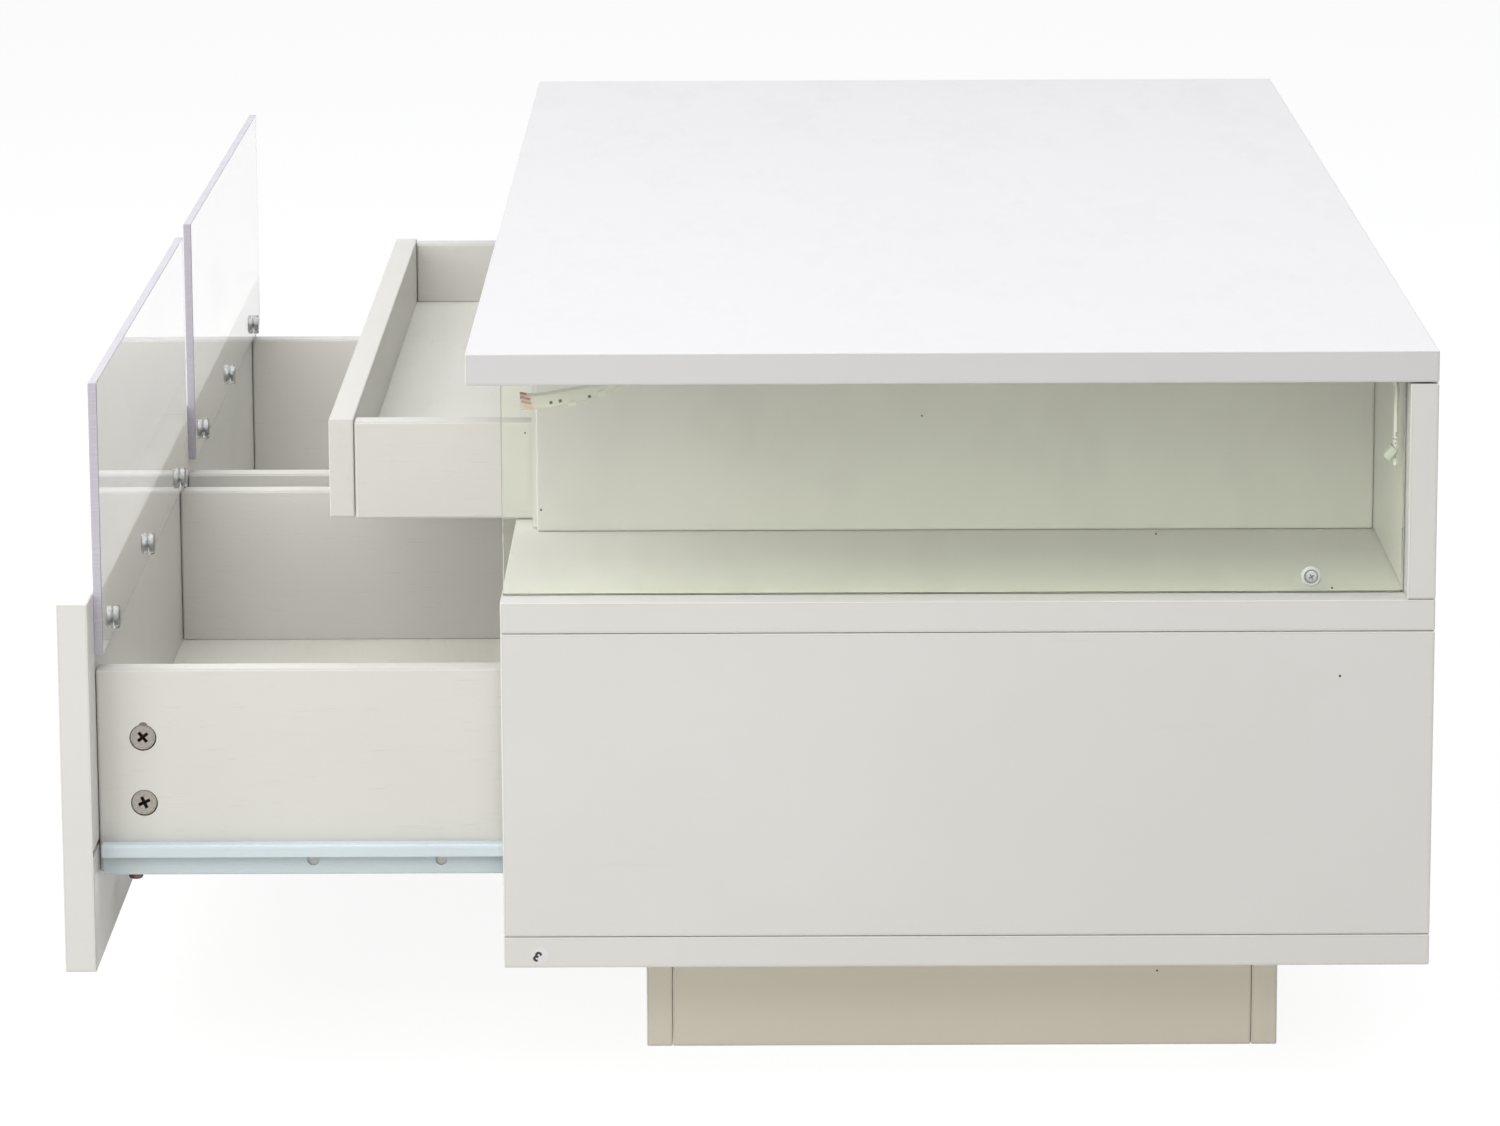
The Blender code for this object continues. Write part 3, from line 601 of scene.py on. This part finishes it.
def finishPiece(bm, name, material, body=None, smooth=True):
    mesh = bpy.data.meshes.new(name)
    bm.to_mesh(mesh)
    bm.free()
    if smooth:
        for face in mesh.polygons:
            face.use_smooth = True
        mesh.set_sharp_from_angle(angle=sharpAngle)
    for finish in material if isinstance(material, tuple) else (material,):
        mesh.materials.append(finish)
    piece = bpy.data.objects.new(name, mesh)
    bpy.context.scene.collection.objects.link(piece)
    if body:
        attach(piece, body)
    return piece


def spunShape(profile, steps=40):  # (radius, height) points from the axis round to the axis
    bm = bmesh.new()
    points = [bm.verts.new((radius, 0, height)) for radius, height in profile]
    lines = [bm.edges.new(pair) for pair in zip(points, points[1:])]
    bmesh.ops.spin(
        bm, geom=points + lines, cent=(0, 0, 0), axis=(0, 0, 1), angle=2 * math.pi, steps=steps,
        use_merge=True,
    )
    bmesh.ops.remove_doubles(bm, verts=bm.verts, dist=1e-7)
    bmesh.ops.recalc_face_normals(bm, faces=bm.faces)
    return bm


def smallBlock(size, bevel, segments=2):  # stands on its underside
    bm = bmesh.new()
    bmesh.ops.create_cube(bm, size=1.0)
    bmesh.ops.scale(bm, vec=size, verts=bm.verts)
    bmesh.ops.bevel(
        bm, geom=bm.edges[:], offset=bevel, segments=segments, profile=0.5, affect="EDGES", material=-1
    )
    bmesh.ops.translate(bm, vec=(0, 0, size[2] / 2), verts=bm.verts)
    return bm


def newVerts(result):
    return [item for item in result["geom"] if isinstance(item, bmesh.types.BMVert)]


def crossCutter(size, level=0.0, above=0.002, taper=0.5):  # the hollow for a cross-point driver
    bm = bmesh.new()
    bmesh.ops.create_grid(bm, x_segments=1, y_segments=1, size=size["crossWidth"] / 2)
    for edge in bm.edges[:]:
        outward = (edge.verts[0].co + edge.verts[1].co).normalized()
        arm = newVerts(bmesh.ops.extrude_edge_only(bm, edges=[edge]))
        bmesh.ops.translate(bm, vec=outward * (size["crossReach"] - size["crossWidth"] / 2), verts=arm)
    bmesh.ops.translate(bm, vec=(0, 0, level + above), verts=bm.verts)
    tip = newVerts(bmesh.ops.extrude_face_region(bm, geom=bm.faces[:]))
    bmesh.ops.translate(bm, vec=(0, 0, -size["crossDepth"] - above), verts=tip)
    bmesh.ops.scale(bm, vec=(taper, taper, 1), verts=tip)
    bmesh.ops.recalc_face_normals(bm, faces=bm.faces)
    # the hollow's faces take the second finish, which paints the shade in the recess
    for face in bm.faces:
        face.material_index = 1
    return bm


def carved(shape, cutter):  # takes the cutter's space out, whose faces keep their second finish, the painted shade of the hollow
    pair = (palette["zinc"], palette["shadeAndSpecks"])
    blocks = [
        finishPiece(shape, "blank", pair, smooth=False),
        finishPiece(cutter, "cutter", pair, smooth=False),
    ]
    cut = blocks[0].modifiers.new("cut", "BOOLEAN")
    cut.operation, cut.solver, cut.object = "DIFFERENCE", "EXACT", blocks[1]
    seen = blocks[0].evaluated_get(bpy.context.evaluated_depsgraph_get())
    result = bpy.data.meshes.new_from_object(seen)
    bm = bmesh.new()
    bm.from_mesh(result)
    for mesh in [result] + [block.data for block in blocks]:
        bpy.data.meshes.remove(mesh)  # their objects go with them
    return bm


def standing(place, normal, along=(0, 1, 0), turn=0.0):  # a placing with +Z on the normal, +X along
    z = Vector(normal).normalized()
    x = (Vector(along) - z * Vector(along).dot(z)).normalized()
    axes = Matrix((x, z.cross(x), z)).transposed().to_4x4()
    return Matrix.Translation(place) @ axes @ Matrix.Rotation(turn, 4, "Z")


def stamp(name, template, placings, material, body, smooth=True):  # one piece, a copy at each placing
    mould = bpy.data.meshes.new("mould")
    template.to_mesh(mould)
    template.free()
    bm = bmesh.new()
    for placing in placings:
        count = len(bm.verts)
        bm.from_mesh(mould)
        bm.verts.ensure_lookup_table()
        bmesh.ops.transform(bm, matrix=placing, verts=bm.verts[count:])
    bpy.data.meshes.remove(mould)
    return finishPiece(bm, name, material, body, smooth)


def touchPoint(tree, origin, direction):  # where a straight line first meets a solid, and the normal there
    return tree.ray_cast(Vector(origin), Vector(direction))[:2]


def solidTree(name):
    bm = bmesh.new()
    bm.from_mesh(nodes[name].data)
    tree = BVHTree.FromBMesh(bm)
    bm.free()
    return tree


# clear panes: a copy of each pane, with a finish of its own on the cut edges


def addPane(node, faceMaterial, rimMaterial, thin):  # thin: the axis that runs through the pane
    bm = bmesh.new()
    bm.from_mesh(nodes[node].data)
    bmesh.ops.remove_doubles(bm, verts=bm.verts, dist=1e-6)
    bm.normal_update()
    for face in bm.faces:
        flat = abs(face.normal[thin]) > 0.9
        face.material_index = 0 if flat else 1
    pane = finishPiece(bm, node + "_pane", (faceMaterial, rimMaterial), bodyOf[node], smooth=False)
    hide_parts(node)


# edging on the ends of the drawer fronts, over the end of the groove for the bottom

frontEdging = {"thick": 0.0004, "inset": 0.0005, "round": 0.00015}


def addEdging(node, size):
    low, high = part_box(node)
    middle = (low + high) / 2
    wide, tall = high.y - low.y - 2 * size["inset"], high.z - low.z - 2 * size["inset"]
    ends = ((high.x, 1), (low.x, -1))
    placings = [standing((face, middle.y, middle.z), (outward, 0, 0)) for face, outward in ends]
    band = smallBlock((wide, tall, size["thick"]), size["round"])
    finish = nodes[node].data.materials[0]
    stamp(node + "_edging", band, placings, finish, bodyOf[node], smooth=False)


# clear buttons that hold the screens, each on a cross-point screw

screenButton = {
    "radius": 0.0068, "cap": 0.0036, "round": 0.0009, "ease": 0.00027, "wall": 0.0005, "steps": 48,
    "turn": 0.4, "head": 0.0050, "play": 0.000125, "shankRadius": 0.0021, "shank": 0.0166,
    "crossReach": 0.0030, "crossWidth": 0.0011, "crossDepth": 0.0013,
}


def addScreenButtons(drawer, size):
    names = [f"{drawer}_drawer_{place}_stud" for place in ("outer", "middle", "inner")]
    r, top, turn, wall, ease = size["radius"], size["cap"], size["round"], size["wall"], size["ease"]
    head, shank, play = size["head"], size["shankRadius"], size["play"]
    bore, hollow, lid = shank + 2 * play, head + play, top - wall
    outside = [(0, top), (r - turn, top), (r - ease, top - ease), (r, top - turn), (r, ease), (r - ease, 0)]
    inside = [(bore, 0), (bore, wall), (hollow, wall), (hollow, lid), (0, lid)]
    headTop, headLow = lid - play, wall + play
    screw = [
        (0, headTop), (head - ease, headTop), (head, headTop - ease), (head, headLow),
        (shank, headLow), (shank, -size["shank"]), (0, -size["shank"]),
    ]
    placings = []
    for name in names:
        low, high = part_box(name)
        base = ((low.x + high.x) / 2, high.y - top, (low.z + high.z) / 2)
        placing = standing(base, (0, 1, 0), (1, 0, 0), size["turn"])
        placings.append(placing)
        shell = spunShape(outside + inside, size["steps"])
        button = stamp(
            name + "_button", shell, [placing], palette["clearPlastic"], bodyOf[name]
        )
        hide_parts(name)
    head = carved(spunShape(screw), crossCutter(size, headTop))
    # painted shade: the second finish darkens the cross recess of the screen screws
    finish = (palette["zinc"], palette["dull"])
    stamp(f"{drawer}_screen_screws", head, placings, finish, bodyOf[names[0]])


# cam locks in the drawer sides

camLock = {
    "radius": 0.00728, "depth": 0.0118, "rim": 0.00045, "ease": 0.00015, "steps": 56,
    "dish": 0.00018, "dishEdge": 0.00099, "landEdge": 0.000765,  # the dish in the face, in from the radius
    "setback": 0.0266, "drop": 0.0405, "pitch": 0.0385, "turns": (0.69, 0.43),
    "sink": 0.0001, "slip": 0.00042, "lift": 0.000252,  # how each cam lies off the middle of its bore
    "crossReach": 0.0038, "crossWidth": 0.0020, "crossDepth": 0.0060, "crossTaper": 0.85,
}
camNick = {  # foil chipped off above the upper cam
    "radius": 0.00245, "squash": 0.75, "rise": 0.0074, "thick": 0.00012, "steps": 32,
}


def addCamLocks(drawer, side, size):
    r, rim, ease, dish, depth = size["radius"], size["rim"], size["ease"], size["dish"], size["depth"]
    profile = [
        (0, -dish), (r - size["dishEdge"], -dish), (r - size["landEdge"], 0),
        (r - rim, 0), (r - ease, -ease), (r, -rim), (r, -depth), (0, -depth),
    ]
    # painted shade: the second finish darkens the cams' cross recess
    finish = (palette["nickel"], palette["shadeAndSpecks"])
    for place in ("outer", "inner"):
        node = f"{drawer}_drawer_{place}_side"
        low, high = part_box(node)
        outward = side if place == "outer" else -side
        face = high.x if outward > 0 else low.x
        placings = []
        for row, turn in enumerate(size["turns"]):
            level = high.z - size["drop"] - row * size["pitch"] + size["lift"]
            spot = (face - outward * size["sink"], low.y + size["setback"] - size["slip"], level)
            placings.append(standing(spot, (outward, 0, 0), (0, 1, 0), turn))
        cam = carved(spunShape(profile, size["steps"]), crossCutter(size, taper=size["crossTaper"]))
        stamp(node + "_cam_locks", cam, placings, finish, bodyOf[node])


def addCamNick(node, lock, size):
    low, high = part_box(node)
    nick = spunShape([(0, size["thick"]), (size["radius"], 0), (0, -size["thick"])], size["steps"])
    everything = nick.verts[:] + nick.edges[:] + nick.faces[:]
    bmesh.ops.bisect_plane(nick, geom=everything, plane_co=(0, 0, 0), plane_no=(0, 1, 0), clear_inner=True)
    bmesh.ops.holes_fill(nick, edges=[edge for edge in nick.edges if edge.is_boundary])
    bmesh.ops.scale(nick, vec=(1, size["squash"], 1), verts=nick.verts)
    spot = (high.x, low.y + lock["setback"], high.z - lock["drop"] + size["rise"])
    placing = standing(spot, (1, 0, 0))
    stamp(node + "_cam_nick", nick, [placing], palette["chip"], bodyOf[node])


# screws of the runners

footScrew = {
    "radius": 0.0042, "height": 0.0040, "shankRadius": 0.0017, "shank": 0.0055,
    "crownShares": ((0.60, 0), (0.85, 0.10), (0.97, 0.32), (1, 0.60)),  # out and down, of the radius
    "setbacks": (0.0198, 0.420), "turns": (0.4782, 4.08),
    "crossReach": 0.0021, "crossWidth": 0.0009, "crossDepth": 0.0010,
}
wallScrew = {
    "radius": 0.0033, "ease": 0.0003, "land": 0.0008, "cone": 0.0024, "shankRadius": 0.0016, "shank": 0.0100,
    "steel": 0.0012, "lengthShares": (0.27, 0.71, 0.88), "turns": (1.58, 3.34, 4.02),
    "crossReach": 0.0020, "crossWidth": 0.0008, "crossDepth": 0.0012,
}


def panScrew(size):
    r, h, shank = size["radius"], size["height"], size["shankRadius"]
    crown = [(r * out, h - r * down) for out, down in size["crownShares"]]
    stem = [(r, 0), (shank, 0), (shank, -size["shank"]), (0, -size["shank"])]
    return carved(spunShape([(0, h)] + crown + stem), crossCutter(size, h))


def flushScrew(size):  # a countersunk head that fills the hole in the web
    r, ease, shank = size["radius"], size["ease"], size["shankRadius"]
    head = [(0, 0), (r - ease, 0), (r, -ease), (r, -size["land"])]
    stem = [(shank, -size["cone"]), (shank, -size["shank"]), (0, -size["shank"])]
    return carved(spunShape(head + stem), crossCutter(size))


def addRunnerScrews(drawer, side):
    for place in ("outer", "inner"):
        outward = side if place == "outer" else -side
        board = f"{drawer}_drawer_{place}_side"
        track = f"{drawer}_drawer_{place}_track"
        low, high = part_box(board)
        middle = (low.x + high.x) / 2
        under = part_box(track)[0].z
        placings = [
            standing((middle, low.y + setback, under), (0, 0, -1), (1, 0, 0), turn)
            for setback, turn in zip(footScrew["setbacks"], footScrew["turns"])
        ]
        # painted shade: the second finish darkens the cross recess of the foot screws
        finish = (palette["bronze"], palette["shadeAndSpecks"])
        stamp(track + "_screws", panScrew(footScrew), placings, finish, bodyOf[track])
        channel = f"{drawer}_drawer_{place}_channel"
        low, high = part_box(channel)
        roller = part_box(f"{drawer}_drawer_{place}_front_roller")
        level = (roller[0].z + roller[1].z) / 2
        web = (high.x if outward > 0 else low.x) - outward * wallScrew["steel"]
        placings = [
            standing((web, low.y + share * (high.y - low.y), level), (-outward, 0, 0), (0, 1, 0), turn)
            for share, turn in zip(wallScrew["lengthShares"], wallScrew["turns"])
        ]
        # painted shade: the second finish darkens the cross recess of the wall screws
        finish = (palette["zinc"], palette["shadeAndSpecks"])
        stamp(channel + "_screws", flushScrew(wallScrew), placings, finish, bodyOf[channel])


# the clear button that holds each end glass

glassButton = {
    "y": 0.1961, "z": 0.2937, "turn": 0.5, "steps": 48,
    "radius": 0.0060, "height": 0.0022, "well": 0.0040, "wellFloor": 0.0007, "wellEase": 0.0003,
    "crown": ((0.0013, 0), (0.0005, 0.0004), (0.0001, 0.0010)),  # in from the radius, down from the top
    "foot": ((0, 0.0004), (0.0002, 0.0001)),  # in from the radius, up from the glass
    "head": 0.0038, "headBase": 0.0008, "headTop": 0.0024,
    "headCrown": ((0.0019, 0.0001), (0.00323, 0.0005), (0.0038, 0.0011)),  # out, down from the top
    "crossReach": 0.0024, "crossWidth": 0.0010, "crossDepth": 0.0012,
}


def addGlassButton(end, side, size):
    glass = f"{end}_end_glass"
    low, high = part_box(glass)
    face = high.x if side > 0 else low.x
    placing = standing((face, size["y"], size["z"]), (side, 0, 0), (0, 1, 0), size["turn"])
    r, h, base, top = size["radius"], size["height"], size["headBase"], size["headTop"]
    well, floor, ease = size["well"], size["wellFloor"], size["wellEase"]
    inside = [(0, floor), (well, floor), (well, h - ease), (well + ease, h)]
    crown = [(r - inward, h - down) for inward, down in size["crown"]]
    foot = [(r - inward, up) for inward, up in size["foot"]]
    washer = spunShape(inside + crown + foot + [(0, foot[-1][1])], size["steps"])
    stamp(glass + "_button", washer, [placing], palette["ring"], bodyOf[glass])
    dome = [(out, top - down) for out, down in size["headCrown"]]
    screw = carved(spunShape([(0, top)] + dome + [(size["head"], base), (0, base)]), crossCutter(size, top))
    # painted shade: the second finish darkens the cross recess of the glass button's screw
    finish = (palette["zinc"], palette["dull"])
    stamp(glass + "_button_screw", screw, [placing], finish, bodyOf[glass])


# light strips: chips, resistors, dark dots and bare pads, each laid on the strip's own surface

stripParts = {
    "x": 0.565, "first": -0.2238, "last": 0.232, "pitch": 0.0167,
    "under": 0.36, "beside": 0.03,  # where straight lines to the strip start: a level, and how far off
    "chip": (0.0050, 0.0050, 0.0009), "chipRound": 0.00025,
    "wall": 0.0005, "lensRim": 0.0002, "lensSink": 0.0002,
    "resistor": (0.0017, 0.0017, 0.0004), "resistorRound": 0.0001,
    "flatFrom": -0.170,  # one resistor to a chip from here on, where the strip lies flat
    "resistors": ((-0.2359, 0.3935), (-0.2306, 0.3944), (-0.2140, 0.3968)),  # y and z, on the loose end
    "dot": (0.0008, 0.0008, 0.0002), "dotRound": 0.00005,
    "dots": (  # y and z, on the tail
        (0.2437, 0.3687), (0.2438, 0.3607), (0.2440, 0.3747),
        (0.2440, 0.3734), (0.2440, 0.3710), (0.2430, 0.3712),
    ),
    "lean": 0.2,  # the turn of those on the loose end and the tail
    "padWidth": 0.0015, "padRise": 0.0003, "padRound": 0.00012, "padLean": -0.25,
    "pads": (
        {"length": 0.0040, "y": -0.2516, "z": 0.3986, "tone": "padRed"},
        {"length": 0.0060, "y": -0.2504, "z": 0.3961, "tone": "padDark"},
        {"length": 0.0058, "y": -0.2498, "z": 0.3936, "tone": "padRed"},
        {"length": 0.0058, "y": -0.2487, "z": 0.3909, "tone": "copper"},
    ),
}


def chipShape(size):
    bm = smallBlock(size["chip"], size["chipRound"])
    top = max(bm.faces, key=lambda face: face.calc_center_median().z)
    bmesh.ops.inset_region(bm, faces=[top], thickness=size["wall"], depth=0.0)
    bmesh.ops.inset_region(bm, faces=[top], thickness=size["lensRim"], depth=-size["lensSink"])
    return bm


def addStripParts(end, side, size):
    strip = f"{end}_led_strip"
    tree = solidTree(strip)
    x = side * size["x"]
    beside = x + side * size["beside"]
    chips, resistors, dots = [], [], []
    place = size["first"]
    while place < size["last"]:
        spot, normal = touchPoint(tree, (x, place, size["under"]), (0, 0, 1))
        chips.append(standing(spot, normal))
        if place > size["flatFrom"]:
            spot, normal = touchPoint(tree, (x, place + size["pitch"] / 2, size["under"]), (0, 0, 1))
            resistors.append(standing(spot, normal, (1, 0, 0)))
        place += size["pitch"]
    for found, spots in ((resistors, size["resistors"]), (dots, size["dots"])):
        for y, z in spots:
            spot, normal = touchPoint(tree, (beside, y, z), (-side, 0, 0))
            if spot:
                found.append(standing(spot, normal, (0, 1, size["lean"])))
    body, dark = bodyOf[strip], palette["resistor"]
    for row, pad in enumerate(size["pads"], 1):
        spot, normal = touchPoint(tree, (beside, pad["y"], pad["z"]), (-side, 0, 0))
        if spot:
            shape = smallBlock((pad["length"], size["padWidth"], size["padRise"]), size["padRound"])
            placing = standing(spot, normal, (0, 1, size["padLean"]))
            stamp(f"{strip}_pad_{row}", shape, [placing], palette[pad["tone"]], body)
    stamp(strip + "_chips", chipShape(size), chips, palette["lamp"], body)
    shape = smallBlock(size["resistor"], size["resistorRound"])
    stamp(strip + "_resistors", shape, resistors, dark, body)
    shape = smallBlock(size["dot"], size["dotRound"])
    stamp(strip + "_dots", shape, dots, dark, body)


# a clip that grips the strip's tail

tailClip = {
    "size": (0.0126, 0.0080, 0.0050), "round": 0.0009, "roundSteps": 3, "place": (0.565, 0.2410, 0.3630),
    "lean": 0.90, "slot": (0.0104, 0.0032, 0.0300), "slotPlace": 0.2442,
}


def addTailClip(end, side, size):
    x, y, z = size["place"]
    block = smallBlock(size["size"], size["round"], size["roundSteps"])
    bmesh.ops.translate(block, vec=(0, 0, -size["size"][2] / 2), verts=block.verts)
    bmesh.ops.rotate(block, cent=(0, 0, 0), matrix=Matrix.Rotation(size["lean"], 3, "X"), verts=block.verts)
    slot = bmesh.new()
    bmesh.ops.create_cube(slot, size=1.0)
    bmesh.ops.scale(slot, vec=size["slot"], verts=slot.verts)
    bmesh.ops.translate(slot, vec=(0, size["slotPlace"] - y, 0), verts=slot.verts)
    placing = Matrix.Translation((side * x, y, z))
    stamp(f"{end}_strip_clip", carved(block, slot), [placing], palette["milky"], "carcass")


# dark specks on the near end

darkSpecks = {
    "thick": 0.0001, "flatShare": 0.8, "steps": 16,
    "spots": (  # node, y, z, radius
        ("near_end_panel", 0.2115, 0.2399, 0.0007), ("near_plinth_end", 0.1144, 0.0450, 0.0006),
        ("near_end_glass", -0.2417, 0.3337, 0.0006), ("near_end_glass", -0.2503, 0.3782, 0.0005),
        ("near_end_glass", 0.1076, 0.3185, 0.0006), ("near_end_glass", 0.2081, 0.2868, 0.0006),
        ("near_divider", -0.0209, 0.3537, 0.0006),
    ),
}


def addSpecks(size):
    disc = spunShape([(0, 1), (size["flatShare"], 1), (1, 0), (0, 0)], size["steps"])
    placings = []
    for node, y, z, radius in size["spots"]:
        place = standing((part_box(node)[1].x, y, z), (1, 0, 0))
        placings.append(place @ Matrix.Diagonal((radius, radius, size["thick"], 1)))
    stamp("near_dark_specks", disc, placings, palette["shadeAndSpecks"], "carcass")


# a small round sticker with a number

sticker = {
    "y": -0.2442, "z": 0.0771, "radius": 0.0050, "thick": 0.00012, "ease": 0.0001,
    "number": "3", "digit": 0.0079, "fatter": 0.00032, "aside": -0.0017, "lean": 148,
    "ink": 0.00003, "inkLift": 0.00004,
}


def addSticker(size):
    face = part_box("bottom_panel")[1].x
    r, thick = size["radius"], size["thick"]
    disc = spunShape([(0, thick), (r - size["ease"], thick), (r, 0), (0, 0)])
    placing = standing((face, size["y"], size["z"]), (1, 0, 0))
    stamp("number_sticker", disc, [placing], palette["sticker"], "carcass")
    text = bpy.data.curves.new("digit", "FONT")
    text.body = size["number"]
    text.size = size["digit"]
    text.align_x = text.align_y = "CENTER"
    text.extrude = size["ink"]
    text.offset = size["fatter"]
    model = bpy.data.objects.new("digit", text)
    bpy.context.scene.collection.objects.link(model)
    mesh = bpy.data.meshes.new_from_object(model.evaluated_get(bpy.context.evaluated_depsgraph_get()))
    bpy.data.objects.remove(model)
    bm = bmesh.new()
    bm.from_mesh(mesh)
    bpy.data.meshes.remove(mesh)
    spot = (face + thick + size["inkLift"], size["y"] + size["aside"], size["z"])
    placing = standing(spot, (1, 0, 0), turn=math.radians(size["lean"]))
    stamp("number_digit", bm, [placing], palette["ink"], "carcass", smooth=False)


for drawer, side in (("near", 1), ("far", -1)):
    screen, glass = f"{drawer}_drawer_screen", f"{drawer}_end_glass"
    addPane(screen, palette["screenFace"], palette["screenRim"], 1)
    addPane(glass, palette["glassFace"], palette["glassRim"], 0)
    addEdging(f"{drawer}_drawer_front", frontEdging)
    addScreenButtons(drawer, screenButton)
    addCamLocks(drawer, side, camLock)
    addRunnerScrews(drawer, side)
    addGlassButton(drawer, side, glassButton)
    addStripParts(drawer, side, stripParts)
    addTailClip(drawer, side, tailClip)
addCamNick("near_drawer_outer_side", camLock, camNick)
addSpecks(darkSpecks)
addSticker(sticker)
print("pieces: panes, buttons, cams, screws, strips and sticker")


# floor, world and lamps

studio = {
    "world": (0.198, 0.200, 0.208),
    "reach": 14,  # half the floor's side
    "floor": (0.62, 0.605, 0.57),  # what the floor gives back to the table
    "shadow": 0.12,  # how the camera sees it: a little shading, which keeps the shadow
    "glow": 0.92,  # and a glow of its own
    "lamps": [  # glint: whether gloss shows the lamp
        {"name": "topLamp", "place": (0.2, -0.4, 3.2), "aim": (0.0, 0.0, 0.3), "size": 4.0, "power": 67,
         "glint": True, "colour": (0.98, 0.985, 1.0)},
        {"name": "cameraLamp", "place": (2.4, -1.8, 0.9), "aim": (0.4, -0.2, 0.2), "size": 1.3, "power": 16,
         "glint": False, "colour": (1.0, 0.99, 0.97)},
        {"name": "frontLamp", "place": (0.6, -3.2, 2.6), "aim": (0.2, -0.1, 0.2), "size": 2.4, "power": 78,
         "glint": False, "colour": (1.0, 0.995, 0.985)},
        {"name": "highLamp", "place": (3.2, -0.7, 2.3), "aim": (0.3, -0.2, 0.25), "size": 2.0, "power": 41,
         "glint": False, "colour": (1.0, 0.995, 0.985)},
        {"name": "backLamp", "place": (0.6, 2.3, 3.3), "aim": (0.2, -0.4, 0.2), "size": 2.4, "power": 45,
         "glint": False, "colour": (0.99, 0.99, 1.0)},
    ],
}


def seenDirectly(tree):  # camera, mirror and see-through rays
    path = addNode(tree, "ShaderNodeLightPath").outputs
    either = doMath(tree, "MAXIMUM", path["Is Camera Ray"], path["Is Glossy Ray"])
    return doMath(tree, "MAXIMUM", either, path["Is Transmission Ray"])


def makeWorld(colour):
    world = bpy.data.worlds.new("studioWorld")
    bpy.context.scene.world = world
    world.use_nodes = True
    tree = world.node_tree
    tree.nodes.clear()
    background = addNode(tree, "ShaderNodeBackground")
    plug(tree, mixColour(tree, seenDirectly(tree), colour, (1, 1, 1)), background.inputs[0])
    tree.links.new(background.outputs[0], addNode(tree, "ShaderNodeOutputWorld").inputs[0])


def makeFloor(look):
    material = bpy.data.materials.new("paleFloor")
    material.use_nodes = True
    tree = material.node_tree
    tree.nodes.clear()
    lit = addNode(tree, "ShaderNodeBsdfDiffuse")
    plug(tree, look["floor"], lit.inputs[0])
    shaded = addNode(tree, "ShaderNodeBsdfDiffuse")
    plug(tree, (look["shadow"],) * 3, shaded.inputs[0])
    glow = addNode(tree, "ShaderNodeEmission")
    glow.inputs[1].default_value = look["glow"]
    seen = addNode(tree, "ShaderNodeAddShader")
    tree.links.new(shaded.outputs[0], seen.inputs[0])
    tree.links.new(glow.outputs[0], seen.inputs[1])
    mix = addNode(tree, "ShaderNodeMixShader")
    plug(tree, seenDirectly(tree), mix.inputs[0])
    tree.links.new(lit.outputs[0], mix.inputs[1])
    tree.links.new(seen.outputs[0], mix.inputs[2])
    tree.links.new(mix.outputs[0], addNode(tree, "ShaderNodeOutputMaterial").inputs[0])
    sheet = bmesh.new()
    bmesh.ops.create_grid(sheet, x_segments=1, y_segments=1, size=look["reach"])
    floor = finishPiece(sheet, "studioFloor", material, smooth=False)


def addLamps(lamps):
    for lamp in lamps:
        data = bpy.data.lights.new(lamp["name"], "AREA")
        data.size = lamp["size"]
        data.energy = lamp["power"]
        data.color = lamp["colour"]
        light = bpy.data.objects.new(lamp["name"], data)
        bpy.context.scene.collection.objects.link(light)
        light.visible_glossy = lamp["glint"]
        place = Vector(lamp["place"])
        turn = (Vector(lamp["aim"]) - place).to_track_quat("-Z", "Y").to_matrix().to_4x4()
        light.matrix_world = Matrix.Translation(place) @ turn


makeWorld(studio["world"])
makeFloor(studio)
addLamps(studio["lamps"])
print("studio: floor, world and lamps")

view = bpy.context.scene.view_settings
view.view_transform = "Standard"
